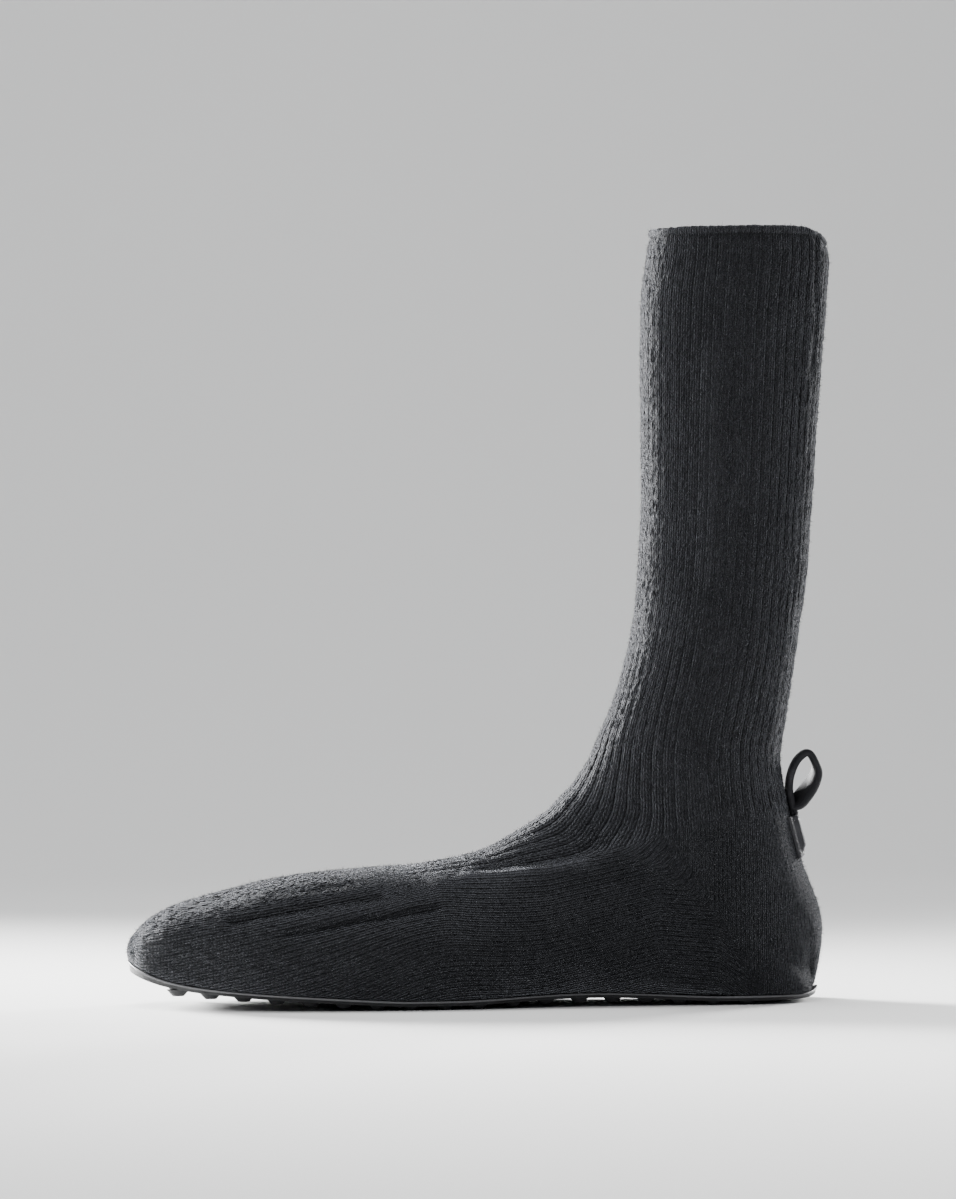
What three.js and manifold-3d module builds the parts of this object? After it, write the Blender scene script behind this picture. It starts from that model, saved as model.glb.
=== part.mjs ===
// Knit sock boot, left foot, in millimetres.
// X runs to the inner side of the foot, Y from the heel to the toe, Z up from the floor.
// The origin is on the floor under the middle stud of the heel.
import * as THREE from "three";
import * as BufferGeometryUtils from "three/addons/utils/BufferGeometryUtils.js";
import Module from "manifold-3d";

const wasm = await Module();
wasm.setup();

// Driving sizes of the boot
const BOOT_LENGTH = 262.6;
const BOOT_HEIGHT = 290.8;
const ANKLE_HEIGHT = 128;
const INSTEP_HEIGHT = 61.5;
const HEEL_HOLLOW_HEIGHT = 90;
const SHAFT_DEPTH = 70;
const SHAFT_WIDTH = 54;
const SHAFT_AXIS_FROM_HEEL = 33;
const ANKLE_WIDTH = 58;
const HEEL_WIDTH = 62;
const WAIST_WIDTH = 60;
const BALL_WIDTH = 90;
const TOE_WIDTH = 76;
const TOE_LEAN = 11;
const COLLAR_DIP = 4.5;
const FOLD_DEPTH = 1.8;
const FOLD_SPREAD = 7;

// Knit
const KNIT_WALL = 2.2;
const HEM_HEIGHT = 3;
const HEM_STEP = 0.4;
const HEM_ROUND = 1.2;
const MARGIN = 9;

// Sole
const SOLE_THICKNESS = 1.9;
const STUD_HEIGHT = 1.5;
const STUD_PITCH = 12.5;
const STUD_TOP = 3.5;
const STUD_FOOT = 2.1;
const STUD_INSET = 4.6;
const STUD_SPACING = 15;
const SOLE_LIP = 0.7;
const SOLE_LIP_HEIGHT = 0.8;
const HEEL_SEAT_FROM_HEEL = 29.5;
const HEEL_END_ROUND = 30;
const TOE_END_ROUND = 58;
const HEEL_SETBACK = 2.4;
const TOE_SETBACK = 1;
const ARCH_RISE = 1.8;
const TOE_SPRING = 6.4;
const TOE_CURL = 7.7;
const TOE_THICKENING = 0.22;
const HEEL_CURL = 3.6;

// Insole
const INSOLE_THICKNESS = 2;
const INSOLE_RIM_GAP = 2.4;
const INSOLE_STEP_GAP = 0.6;

// Leather
const STRAP_THICKNESS = 2.1;
const STRAP_WIDTH = 13;
const LOOP_HEIGHT = 23.8;
const LOOP_REACH = 14.5;
const LOOP_FOOT_HEIGHT = 71;
const STRAP_TAIL = 10;
const TAIL_THICKNESS = 1.1;
const PATCH_TOP = 69.5;
const PATCH_HEIGHT = 15.5;
const PATCH_WIDTH = 25;
const PATCH_THICKNESS = 1.1;

const GAP = 0.3;

// Places along the sole, as shares of its length: the arch's two ends, the ball's end, the end of the heel's
// curl and the last studs
const ARCH_FROM = 0.145;
const ARCH_TO = 0.52;
const BALL_END = 0.595;
const HEEL_CURL_END = 0.035;
const STUD_END = 0.925;

// Powers that shape the sole's curves: higher ones stay level longer and turn later
const ARCH_POWER = 1.5;
const SPRING_POWER = 1.1;
const TOE_CURL_POWER = 8;
const HEEL_CURL_POWER = 2.5;
const HEEL_ROUND_POWER = 2.2;
const TOE_ROUND_POWER = 2.3;
const COLLAR_DIP_POWER = 8;

// Shares of what they belong to: how far down the tube the collar's dip reaches, the rounded part of the hem,
// and the part of the loop that hugs the heel
const COLLAR_SHARE = 0.06;
const HEM_EDGE_SHARE = 0.35;
const HUG_SHARE = 0.6;

// How the patch's side edges lean, and where it slopes off the strap's tail
const PATCH_LEAN = 0.25;
const PATCH_SLOPE_FROM = 0.7;
const PATCH_SLOPE_WIDTH = 3;

// Outer line of the strap's loop, from the side that lies on the knit round to its free side:
// how far it stands off the knit and how high, as shares of the loop's reach and height
const LOOP_LINE = [
  [0, 0], [0, 0.18], [0.02, 0.38], [0.13, 0.6], [0.32, 0.83], [0.56, 0.97], [0.78, 0.97],
  [0.95, 0.82], [1, 0.62], [0.78, 0.4], [0.5, 0.22], [0.26, 0.07], [0.085, 0],
];

// How finely the curved faces are cut
const AROUND = 30;
const RINGS_PER_SECTION = 2;
const FLAT_SHARE = 0.2;
const OUTLINE_STEPS = 36;
const STUD_SIDES = 6;
const LOOP_STEPS = 22;
const STRAP_STEPS = 4;
const PATCH_COLUMNS = 12;
const PATCH_ROWS = 7;

// Small steps for slopes and for roots that are found by trial
const RING_STEP = 0.002;
const OUTLINE_STEP = 0.004;
const HEM_SLOPE = 0.001;
const SLOPE_STEP = 0.5;
const ROOT_ERROR = 0.001;
const ROOT_TRIALS = 12;
const FULLNESS_WEIGHT = 10;

// Sections of the knit from the collar to the toe. Each lies in a plane that holds X and the line from its
// top point, on the front of the shaft or the instep, to its bottom point, on the back, the heel or the sole.
// ridge and centre are X of the top point and of the widest place, as shares of the toe's lean inwards.
// outer and inner are its half widths on each side, and widest is that place's share of the way down.
// round and under are the fullness of the corners above and below it, and flat says how far the underside
// lies on the sole.
const shaftY = (share) => SHAFT_AXIS_FROM_HEEL + share * SHAFT_DEPTH;
const shaftZ = (share) => ANKLE_HEIGHT + share * (BOOT_HEIGHT - ANKLE_HEIGHT);
const SHAFT_SECTIONS = [
  // top: [front, up], bottom: [back, up], half width, widest, round, under
  [0.408, 1.0, -0.535, 1.0, 0.5, 0.5, 2.2, 2.1],
  [0.43, 0.935, -0.555, 0.935, 0.5, 0.5, 2.2, 2.1],
  [0.46, 0.835, -0.537, 0.832, 0.5, 0.5, 2.2, 2.1],
  [0.468, 0.593, -0.49, 0.593, 0.495, 0.5, 2.2, 2.1],
  [0.474, 0.349, -0.444, 0.349, 0.49, 0.5, 2.2, 2.1],
  [0.494, 0.212, -0.41, 0.183, 0.495, 0.5, 2.1, 2.1],
].map(([front, frontUp, back, backUp, half, widest, round, under]) => ({
  top: [shaftY(front), shaftZ(frontUp)],
  bottom: [shaftY(back), shaftZ(backUp)],
  ridge: 0, centre: 0, outer: half * SHAFT_WIDTH, inner: half * SHAFT_WIDTH, widest, round, under, flat: 0,
}));

const ANKLE_SECTIONS = [
  // top: [share of length, of ankle height], bottom: [share of length, of heel hollow height],
  // half width, widest, flat
  [0.267, 1.094, 0.031, 1.478, 0.5, 0.5, 0],
  [0.2815, 0.977, 0.043, 1.244, 0.505, 0.5, 0],
  [0.2975, 0.875, 0.056, 1.011, 0.51, 0.5, 0],
  [0.3155, 0.793, 0.0475, 0.844, 0.52, 0.52, 0],
  [0.3335, 0.711, 0.0265, 0.589, 0.53, 0.56, 0],
  [0.3545, 0.645, 0.0, 0.333, 0.535, 0.6, 0.05],
  [0.3735, 0.604, 0.006, 0.133, 0.535, 0.63, 0.45],
].map(([along, up, back, backUp, half, widest, flat]) => ({
  top: [along * BOOT_LENGTH, up * ANKLE_HEIGHT],
  bottom: [back * BOOT_LENGTH, backUp * HEEL_HOLLOW_HEIGHT],
  ridge: 0, centre: 0, outer: half * ANKLE_WIDTH, inner: half * ANKLE_WIDTH,
  widest, round: 2.1, under: 2.2, flat,
}));

const FOOT_SECTIONS = [
  // top: [share of length, of instep height], bottom: share of length,
  // ridge, centre, outer, inner, widest, round
  [0.392, 1.178, 0.018, 0.09, 0, 0.5 * HEEL_WIDTH, 0.5 * HEEL_WIDTH, 0.65, 2.1],
  [0.415, 1.11, 0.103, 0.14, 0, 0.52 * HEEL_WIDTH, 0.51 * HEEL_WIDTH, 0.7, 2.1],
  [0.4455, 1.034, 0.221, 0.18, 0, 0.56 * HEEL_WIDTH, 0.52 * HEEL_WIDTH, 0.72, 2.1],
  [0.487, 0.94, 0.362, 0.27, 0, 0.42 * BALL_WIDTH, 0.38 * BALL_WIDTH, 0.72, 2.1],
  [0.556, 0.87, 0.495, 0.36, 0, 0.475 * BALL_WIDTH, 0.44 * BALL_WIDTH, 0.72, 2.1],
  [0.64, 0.838, 0.609, 0.45, 0.14, 0.515 * BALL_WIDTH, 0.482 * BALL_WIDTH, 0.7, 2.15],
  [0.7235, 0.812, 0.708, 0.55, 0.27, 0.515 * BALL_WIDTH, 0.495 * BALL_WIDTH, 0.68, 2.2],
  [0.807, 0.758, 0.8, 0.64, 0.45, 0.59 * TOE_WIDTH, 0.565 * TOE_WIDTH, 0.65, 2.25],
  [0.8835, 0.673, 0.88, 0.73, 0.64, 0.49 * TOE_WIDTH, 0.485 * TOE_WIDTH, 0.61, 2.3],
  [0.9405, 0.595, 0.939, 0.82, 0.77, 0.38 * TOE_WIDTH, 0.385 * TOE_WIDTH, 0.57, 2.3],
  [0.975, 0.507, 0.975, 0.91, 0.91, 0.26 * TOE_WIDTH, 0.258 * TOE_WIDTH, 0.53, 2.3],
  [0.9925, 0.423, 0.9925, 1, 1, 0.14 * TOE_WIDTH, 0.135 * TOE_WIDTH, 0.5, 2.2],
].map(([along, up, bottom, ridge, centre, outer, inner, widest, round]) => ({
  top: [along * BOOT_LENGTH, up * INSTEP_HEIGHT],
  bottom: [bottom * BOOT_LENGTH, seat(bottom * BOOT_LENGTH) + GAP],
  ridge: ridge * TOE_LEAN,
  centre: centre * TOE_LEAN,
  outer, inner, widest, round, under: 2.2, flat: 1,
}));

const TOE_TIP = new THREE.Vector3(TOE_LEAN, BOOT_LENGTH, 0.33 * INSTEP_HEIGHT);
const SECTIONS = [...SHAFT_SECTIONS, ...ANKLE_SECTIONS, ...FOOT_SECTIONS];

// Outline of the sole: share of the length, middle line, half width
const SOLE_OUTLINE = [
  { at: 0.0, middle: 0, half: 0.45 * HEEL_WIDTH },
  { at: 0.11, middle: 0, half: 0.47 * HEEL_WIDTH },
  { at: 0.23, middle: -0.09 * TOE_LEAN, half: 0.45 * HEEL_WIDTH },
  { at: 0.36, middle: -0.23 * TOE_LEAN, half: 0.465 * WAIST_WIDTH },
  { at: 0.5, middle: -0.09 * TOE_LEAN, half: 0.42 * BALL_WIDTH },
  { at: 0.63, middle: 0.09 * TOE_LEAN, half: 0.475 * BALL_WIDTH },
  { at: 0.76, middle: 0.32 * TOE_LEAN, half: 0.475 * BALL_WIDTH },
  { at: 0.88, middle: 0.64 * TOE_LEAN, half: 0.5 * TOE_WIDTH },
  { at: 1.0, middle: TOE_LEAN, half: 0.47 * TOE_WIDTH },
];

// Main folds of the knit on the outer side, each a line of [Y, Z] shares of length and instep height.
// Depth and spread are shares of the deepest fold's and the widest fold's.
const FOLDS = [
  { depth: -0.5, spread: 0.57, line: [[0.836, 0.55], [0.773, 0.61], [0.713, 0.65], [0.627, 0.68]] },
  { depth: -0.5, spread: 0.57, line: [[0.754, 0.46], [0.702, 0.49], [0.662, 0.53], [0.55, 0.59]] },
  {
    depth: 0.9,
    spread: 0.71,
    line: [[0.547, 0.75], [0.46, 0.78], [0.392, 0.81], [0.324, 0.87], [0.247, 0.95]],
  },
  { depth: -1, spread: 1, line: [[0.46, 0.91], [0.375, 1.0], [0.317, 1.08], [0.26, 1.18]] },
];

// Smooth curve through a table's column
function column(rows, key, at) {
  const last = rows.length - 1;
  let i = 0;
  while (i < last - 1 && rows[i + 1].at <= at) i += 1;
  const a = rows[Math.max(i - 1, 0)];
  const b = rows[i];
  const c = rows[i + 1];
  const d = rows[Math.min(i + 2, last)];
  const span = c.at - b.at;
  const u = THREE.MathUtils.clamp((at - b.at) / span, 0, 1);
  const slopeB = ((c[key] - a[key]) / (c.at - a.at)) * span;
  const slopeC = ((d[key] - b[key]) / (d.at - b.at)) * span;
  const u2 = u * u;
  const u3 = u2 * u;
  return (2 * u3 - 3 * u2 + 1) * b[key] + (u3 - 2 * u2 + u) * slopeB
    + (3 * u2 - 2 * u3) * c[key] + (u3 - u2) * slopeC;
}

// Height of the studs' feet over the floor: flat under heel and ball, raised arch, sprung toe
function tread(y) {
  const arch = THREE.MathUtils.clamp((y / BOOT_LENGTH - ARCH_FROM) / (ARCH_TO - ARCH_FROM), 0, 1);
  const toe = THREE.MathUtils.clamp((y / BOOT_LENGTH - BALL_END) / (1 - BALL_END), 0, 1);
  return ARCH_RISE * Math.sin(Math.PI * arch) ** ARCH_POWER + TOE_SPRING * toe ** SPRING_POWER;
}

// How far the sole's two ends curl up
function curl(y) {
  const toe = THREE.MathUtils.clamp((y / BOOT_LENGTH - BALL_END) / (1 - BALL_END), 0, 1);
  const heel = THREE.MathUtils.clamp(1 - y / (HEEL_CURL_END * BOOT_LENGTH), 0, 1);
  return TOE_CURL * toe ** TOE_CURL_POWER + HEEL_CURL * heel ** HEEL_CURL_POWER;
}

// Height of the sole's top face over the floor
function seat(y) {
  return tread(y) + STUD_HEIGHT + SOLE_THICKNESS + curl(y);
}

// X of the sole's outline at y, on the outer side (-1) or the inner side (1)
function soleEdge(side, y) {
  const fromHeel = THREE.MathUtils.clamp((y - HEEL_SETBACK) / HEEL_END_ROUND, 0, 1);
  const fromToe = THREE.MathUtils.clamp((BOOT_LENGTH - TOE_SETBACK - y) / TOE_END_ROUND, 0, 1);
  const round = (share, power) => (1 - (1 - share) ** power) ** (1 / power);
  const ends = round(fromHeel, HEEL_ROUND_POWER) * round(fromToe, TOE_ROUND_POWER);
  const half = column(SOLE_OUTLINE, "half", y / BOOT_LENGTH) * ends;
  return column(SOLE_OUTLINE, "middle", y / BOOT_LENGTH) + side * half;
}

// Curves through the sections' points, all with the same parameter
const curveOf = (pick) => new THREE.CatmullRomCurve3(SECTIONS.map(pick));
const topCurve = curveOf((s) => new THREE.Vector3(s.ridge, ...s.top));
const bottomCurve = curveOf((s) => new THREE.Vector3(s.centre, ...s.bottom));
const widthCurve = curveOf((s) => new THREE.Vector3(s.outer, s.inner, s.widest * BOOT_LENGTH));
const fullnessOf = (s) => new THREE.Vector3(s.round, s.under, s.flat).multiplyScalar(FULLNESS_WEIGHT);
const fullnessCurve = curveOf(fullnessOf);

// One point of the knit's outer face: t runs from the collar to the toe, turn once around from the top line
function knitPoint(t, turn) {
  const top = topCurve.getPoint(t);
  const bottom = bottomCurve.getPoint(t);
  const width = widthCurve.getPoint(t);
  const fullness = fullnessCurve.getPoint(t).divideScalar(FULLNESS_WEIGHT);
  const flat = THREE.MathUtils.clamp(fullness.z, 0, 1);
  const side = turn <= 0.5 ? -1 : 1;
  const share = side < 0 ? 2 * turn : 2 - 2 * turn;
  const reach = side < 0 ? width.x : width.y;
  const widest = width.z / BOOT_LENGTH;
  let down;
  let x;
  if (share <= 0.5) {
    const angle = share * Math.PI;
    const power = 2 / fullness.x;
    down = widest * (1 - Math.cos(angle) ** power);
    x = top.x + (bottom.x + side * reach - top.x) * Math.sin(angle) ** power;
  } else {
    const angle = share * Math.PI;
    const power = 2 / fullness.y;
    const roundDown = widest + (1 - widest) * Math.abs(Math.cos(angle)) ** power;
    const roundX = bottom.x + side * reach * Math.max(Math.sin(angle), 0) ** power;
    const edge = soleEdge(side, bottom.y);
    const middle = (soleEdge(-1, bottom.y) + soleEdge(1, bottom.y)) / 2;
    const corner = Math.min((share - 0.5) / (0.5 - FLAT_SHARE), 1) * Math.PI / 2;
    const inward = Math.max(share - 1 + FLAT_SHARE, 0) / FLAT_SHARE;
    const widestX = bottom.x + side * reach;
    const flatDown = widest + (1 - widest) * Math.sin(corner);
    const flatX = inward > 0 ? edge + (middle - edge) * inward : edge + (widestX - edge) * Math.cos(corner);
    down = roundDown + (flatDown - roundDown) * flat;
    x = roundX + (flatX - roundX) * flat;
  }
  const y = top.y + (bottom.y - top.y) * down;
  let z = top.z + (bottom.z - top.z) * down;
  const atBack = Math.max(-Math.cos(turn * 2 * Math.PI), 0) ** COLLAR_DIP_POWER;
  z -= COLLAR_DIP * atBack * Math.max(1 - t / COLLAR_SHARE, 0);
  return new THREE.Vector3(x, y, Math.max(z, seat(y) + GAP));
}

// How far the folds push the knit out or in at a point
function foldAt(point, normal) {
  let out = 0;
  for (const fold of FOLDS) {
    const line = fold.line.map(([y, z]) => new THREE.Vector3(0, y * BOOT_LENGTH, z * INSTEP_HEIGHT));
    const flatPoint = new THREE.Vector3(0, point.y, point.z);
    let nearest = Infinity;
    for (let i = 0; i + 1 < line.length; i += 1) {
      const stretch = new THREE.Line3(line[i], line[i + 1]);
      const onLine = stretch.closestPointToPoint(flatPoint, true, new THREE.Vector3());
      nearest = Math.min(nearest, onLine.distanceTo(flatPoint));
    }
    const away = nearest / (fold.spread * FOLD_SPREAD);
    out += fold.depth * FOLD_DEPTH * Math.exp(-(away ** 2)) * Math.max(-normal.x, 0);
  }
  return out;
}

// Outward normal of the knit's outer face
function knitNormal(t, turn) {
  const before = knitPoint(Math.max(t - RING_STEP, 0), turn);
  const after = knitPoint(Math.min(t + RING_STEP, 1), turn);
  const left = knitPoint(t, (turn - RING_STEP * 2 + 1) % 1);
  const right = knitPoint(t, (turn + RING_STEP * 2) % 1);
  return after.sub(before).cross(right.sub(left)).normalize();
}

// Root of a smooth falling function between two places, by false position
function root(value, from, to) {
  let low = from;
  let high = to;
  let atLow = value(low);
  let atHigh = value(high);
  let middle = low;
  for (let i = 0; i < ROOT_TRIALS; i += 1) {
    middle = low + ((high - low) * atLow) / (atLow - atHigh);
    const at = value(middle);
    if (Math.abs(at) < ROOT_ERROR) break;
    if (at > 0) {
      low = middle;
      atLow = at;
      atHigh /= 2;
    } else {
      high = middle;
      atHigh = at;
      atLow /= 2;
    }
  }
  return middle;
}

// Where rings are cut along the knit: a fine step under the hem, then evenly through the sections
function ringPlaces() {
  const last = SECTIONS.length - 1;
  const hem = root((t) => knitPoint(t, 0).z - (BOOT_HEIGHT - HEM_HEIGHT), 0, 2 / last);
  const places = [
    { t: 0, step: HEM_STEP - HEM_ROUND },
    { t: hem * HEM_EDGE_SHARE, step: HEM_STEP },
    { t: hem, step: HEM_STEP },
    { t: hem + HEM_SLOPE, step: 0 },
  ];
  for (let i = 1; i <= last * RINGS_PER_SECTION; i += 1) {
    places.push({ t: i / (last * RINGS_PER_SECTION), step: 0 });
  }
  return places;
}

// Rings of points on the knit, outside or one wall inside
function knitRings(inside) {
  return ringPlaces().map(({ t, step }) => {
    const ring = [];
    for (let j = 0; j < AROUND; j += 1) {
      const normal = knitNormal(t, j / AROUND);
      const point = knitPoint(t, j / AROUND);
      const out = foldAt(point, normal) + (inside ? -KNIT_WALL : step);
      ring.push(point.addScaledVector(normal, out));
    }
    return ring;
  });
}

// Closed body from points and triangles, its faces turned outwards
function body(points, triangles) {
  let volume = 0;
  for (const [a, b, c] of triangles) {
    volume += points[a].dot(new THREE.Vector3().crossVectors(points[b], points[c]));
  }
  const turned = volume < 0 ? triangles.map(([a, b, c]) => [a, c, b]) : triangles;
  const geometry = new THREE.BufferGeometry();
  geometry.setAttribute("position", new THREE.Float32BufferAttribute(points.flatMap((p) => p.toArray()), 3));
  geometry.setIndex(turned.flat());
  return geometry;
}

// Triangles of a band between two rows of points that start at the given numbers
function band(first, second, count, closed) {
  const triangles = [];
  for (let j = 0; j < (closed ? count : count - 1); j += 1) {
    const k = (j + 1) % count;
    triangles.push([first + j, second + j, second + k], [first + j, second + k, first + k]);
  }
  return triangles;
}

function toSolid(geometry) {
  const bare = geometry.clone();
  bare.deleteAttribute("normal");
  bare.deleteAttribute("uv");
  const merged = BufferGeometryUtils.mergeVertices(bare, 1e-4);
  return new wasm.Manifold(new wasm.Mesh({
    numProp: 3,
    vertProperties: new Float32Array(merged.attributes.position.array),
    triVerts: new Uint32Array(merged.index.array),
  }));
}

function toGeometry(solid) {
  const mesh = solid.getMesh();
  const geometry = new THREE.BufferGeometry();
  geometry.setAttribute("position", new THREE.BufferAttribute(new Float32Array(mesh.vertProperties), 3));
  geometry.setIndex(new THREE.BufferAttribute(new Uint32Array(mesh.triVerts), 1));
  return geometry;
}

// Points of the sole's outline in pairs from heel to toe, moved outwards by a distance
function outlinePairs(outward) {
  const from = HEEL_SETBACK;
  const length = BOOT_LENGTH - HEEL_SETBACK - TOE_SETBACK;
  const place = (share, side) => {
    const y = from + (length * (1 - Math.cos(Math.PI * share))) / 2;
    return new THREE.Vector2(soleEdge(side, y), y);
  };
  const moved = (share, side) => {
    const before = place(Math.max(share - OUTLINE_STEP, 0), side);
    const after = place(Math.min(share + OUTLINE_STEP, 1), side);
    const along = after.sub(before).normalize();
    return place(share, side).add(new THREE.Vector2(side * along.y, -side * along.x).multiplyScalar(outward));
  };
  const pairs = [];
  for (let i = 1; i < OUTLINE_STEPS; i += 1) {
    pairs.push([moved(i / OUTLINE_STEPS, -1), moved(i / OUTLINE_STEPS, 1)]);
  }
  const heel = place(0, 1).add(new THREE.Vector2(0, -outward));
  const toe = place(1, 1).add(new THREE.Vector2(0, outward));
  return { heel, pairs, toe };
}

// Slab that follows the sole's curve. Each level has its distance outside the outline and its height over the
// seat, and flatten is the share of the ends' curl that it lacks
function soleSlab(levels) {
  const points = [];
  const triangles = [];
  const starts = [];
  let count = 0;
  for (const { out, up, flatten = 0 } of levels) {
    const { heel, pairs, toe } = outlinePairs(out);
    const loop = [heel, ...pairs.map((pair) => pair[0]), toe, ...pairs.map((pair) => pair[1]).reverse()];
    starts.push(points.length);
    count = loop.length;
    for (const { x, y } of loop) points.push(new THREE.Vector3(x, y, seat(y) + up - flatten * curl(y)));
  }
  for (let level = 0; level + 1 < levels.length; level += 1) {
    triangles.push(...band(starts[level], starts[level + 1], count, true));
  }
  const across = (start, flip) => {
    const half = count / 2;
    for (let i = 0; i < half; i += 1) {
      const a = start + i;
      const b = start + i + 1;
      const c = start + count - i - 1;
      const d = start + ((count - i) % count);
      const faces = [[a, b, c], [a, c, d]].filter((face) => new Set(face).size === 3);
      triangles.push(...(flip ? faces.map(([p, q, r]) => [p, r, q]) : faces));
    }
  };
  across(starts[0], false);
  across(starts[starts.length - 1], true);
  return body(points, triangles);
}

function material(color, roughness) {
  return new THREE.MeshStandardMaterial({ color, roughness, metalness: 0 });
}

// Hollow knitted tube: outer and inner faces joined at the collar and closed at the toe, open underneath
function makeUpper() {
  const outside = knitRings(false);
  const inside = knitRings(true);
  const points = [...outside.flat(), ...inside.flat()];
  const rings = outside.length;
  const innerStart = rings * AROUND;
  const triangles = [];
  for (let i = 0; i + 1 < rings; i += 1) {
    triangles.push(...band(i * AROUND, (i + 1) * AROUND, AROUND, true));
    triangles.push(...band(innerStart + (i + 1) * AROUND, innerStart + i * AROUND, AROUND, true));
  }
  triangles.push(...band(innerStart, 0, AROUND, true));
  const tip = points.push(TOE_TIP.clone()) - 1;
  const innerTip = points.push(TOE_TIP.clone().add(new THREE.Vector3(0, -KNIT_WALL, 0))) - 1;
  for (let j = 0; j < AROUND; j += 1) {
    const k = (j + 1) % AROUND;
    triangles.push([(rings - 1) * AROUND + j, tip, (rings - 1) * AROUND + k]);
    triangles.push([innerStart + (rings - 1) * AROUND + k, innerTip, innerStart + (rings - 1) * AROUND + j]);
  }
  const opening = soleSlab([{ out: -MARGIN, up: 3 * KNIT_WALL }, { out: -MARGIN, up: -KNIT_WALL }]);
  return toGeometry(toSolid(body(points, triangles)).subtract(toSolid(opening)));
}

// Moulded sole: a thin curved plate with a lip around its edge, and rows of studs
function makeOutsole() {
  let sole = toSolid(soleSlab([
    { out: SOLE_LIP, up: 0 },
    { out: SOLE_LIP, up: -SOLE_LIP_HEIGHT },
    { out: 0, up: -SOLE_LIP_HEIGHT - SOLE_LIP / 2 },
    { out: 0, up: -SOLE_THICKNESS, flatten: TOE_THICKENING },
  ]));
  const rows = Math.floor((STUD_END * BOOT_LENGTH - HEEL_SEAT_FROM_HEEL) / STUD_PITCH);
  for (let row = 0; row <= rows; row += 1) {
    const y = HEEL_SEAT_FROM_HEEL + row * STUD_PITCH;
    const from = soleEdge(-1, y) + STUD_INSET;
    const to = soleEdge(1, y) - STUD_INSET;
    const steps = 2 * Math.max(Math.round((to - from) / (2 * STUD_SPACING)), 1);
    const root = STUD_HEIGHT + SOLE_THICKNESS / 2;
    const spread = STUD_FOOT + (STUD_TOP - STUD_FOOT) * (root / STUD_HEIGHT);
    for (let i = 0; i <= steps; i += 1) {
      const stud = new THREE.CylinderGeometry(spread, STUD_FOOT, root, STUD_SIDES);
      stud.rotateX(Math.PI / 2);
      stud.translate(from + ((to - from) * i) / steps, y, tread(y) + root / 2);
      sole = sole.add(toSolid(stud));
    }
  }
  return toGeometry(sole);
}

// Stitched-in board: it fills the knit's opening and covers the turned-in margin
function makeInsole() {
  const rim = -KNIT_WALL - INSOLE_RIM_GAP;
  const step = KNIT_WALL + GAP + INSOLE_STEP_GAP;
  return soleSlab([
    { out: rim, up: step + INSOLE_THICKNESS },
    { out: rim, up: step },
    { out: -MARGIN - GAP, up: step },
    { out: -MARGIN - GAP, up: GAP },
  ]);
}

// Y of the knit's back over the heel, at an X and a height
function backY(x, height) {
  const side = x < 0 ? -1 : 1;
  const placeAt = (away) => {
    const turn = 0.5 + side * away;
    const t = root((place) => knitPoint(place, turn).z - height, 6 / (SECTIONS.length - 1), 0.5);
    return knitPoint(t, turn);
  };
  const away = root((value) => Math.abs(x) - Math.abs(placeAt(value).x), 0, 0.2);
  return placeAt(away).y;
}

// Folded strap: a drop-shaped loop that stands off the heel, with a thin tail that goes under the patch
function makePullLoop() {
  const place = ([out, up]) => {
    const z = LOOP_FOOT_HEIGHT + up * LOOP_HEIGHT;
    return new THREE.Vector2(backY(0, z) - GAP - out * LOOP_REACH, z);
  };
  const outer = new THREE.SplineCurve(LOOP_LINE.map(place));
  const edge = (away) => {
    const line = [];
    for (let i = 0; i <= LOOP_STEPS; i += 1) {
      const tangent = outer.getTangent(i / LOOP_STEPS);
      const inwards = new THREE.Vector2(-tangent.y, tangent.x);
      line.push(outer.getPoint(i / LOOP_STEPS).addScaledVector(inwards, away));
    }
    return line;
  };
  const behind = (up) => backY(0, LOOP_FOOT_HEIGHT - up) - GAP;
  const tailEnd = [
    new THREE.Vector2(behind(STRAP_TAIL) - TAIL_THICKNESS, LOOP_FOOT_HEIGHT - STRAP_TAIL),
    new THREE.Vector2(behind(STRAP_TAIL), LOOP_FOOT_HEIGHT - STRAP_TAIL),
  ];
  const shape = new THREE.Shape([...edge(0), ...tailEnd]);
  shape.holes.push(new THREE.Path(edge(STRAP_THICKNESS).slice(2, -2)));
  const bandOptions = { depth: STRAP_WIDTH, steps: STRAP_STEPS, bevelEnabled: false };
  const strap = new THREE.ExtrudeGeometry(shape, bandOptions);
  const position = strap.attributes.position;
  for (let i = 0; i < position.count; i += 1) {
    const x = position.getZ(i) - STRAP_WIDTH / 2;
    const y = position.getX(i);
    const z = position.getY(i);
    const hug = THREE.MathUtils.clamp(1 - (z - LOOP_FOOT_HEIGHT) / (HUG_SHARE * LOOP_HEIGHT), 0, 1);
    const held = Math.min(z, LOOP_FOOT_HEIGHT + HUG_SHARE * LOOP_HEIGHT);
    position.setXYZ(i, x, y + (backY(x, held) - backY(0, held)) * hug, z);
  }
  return toGeometry(toSolid(strap));
}

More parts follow.
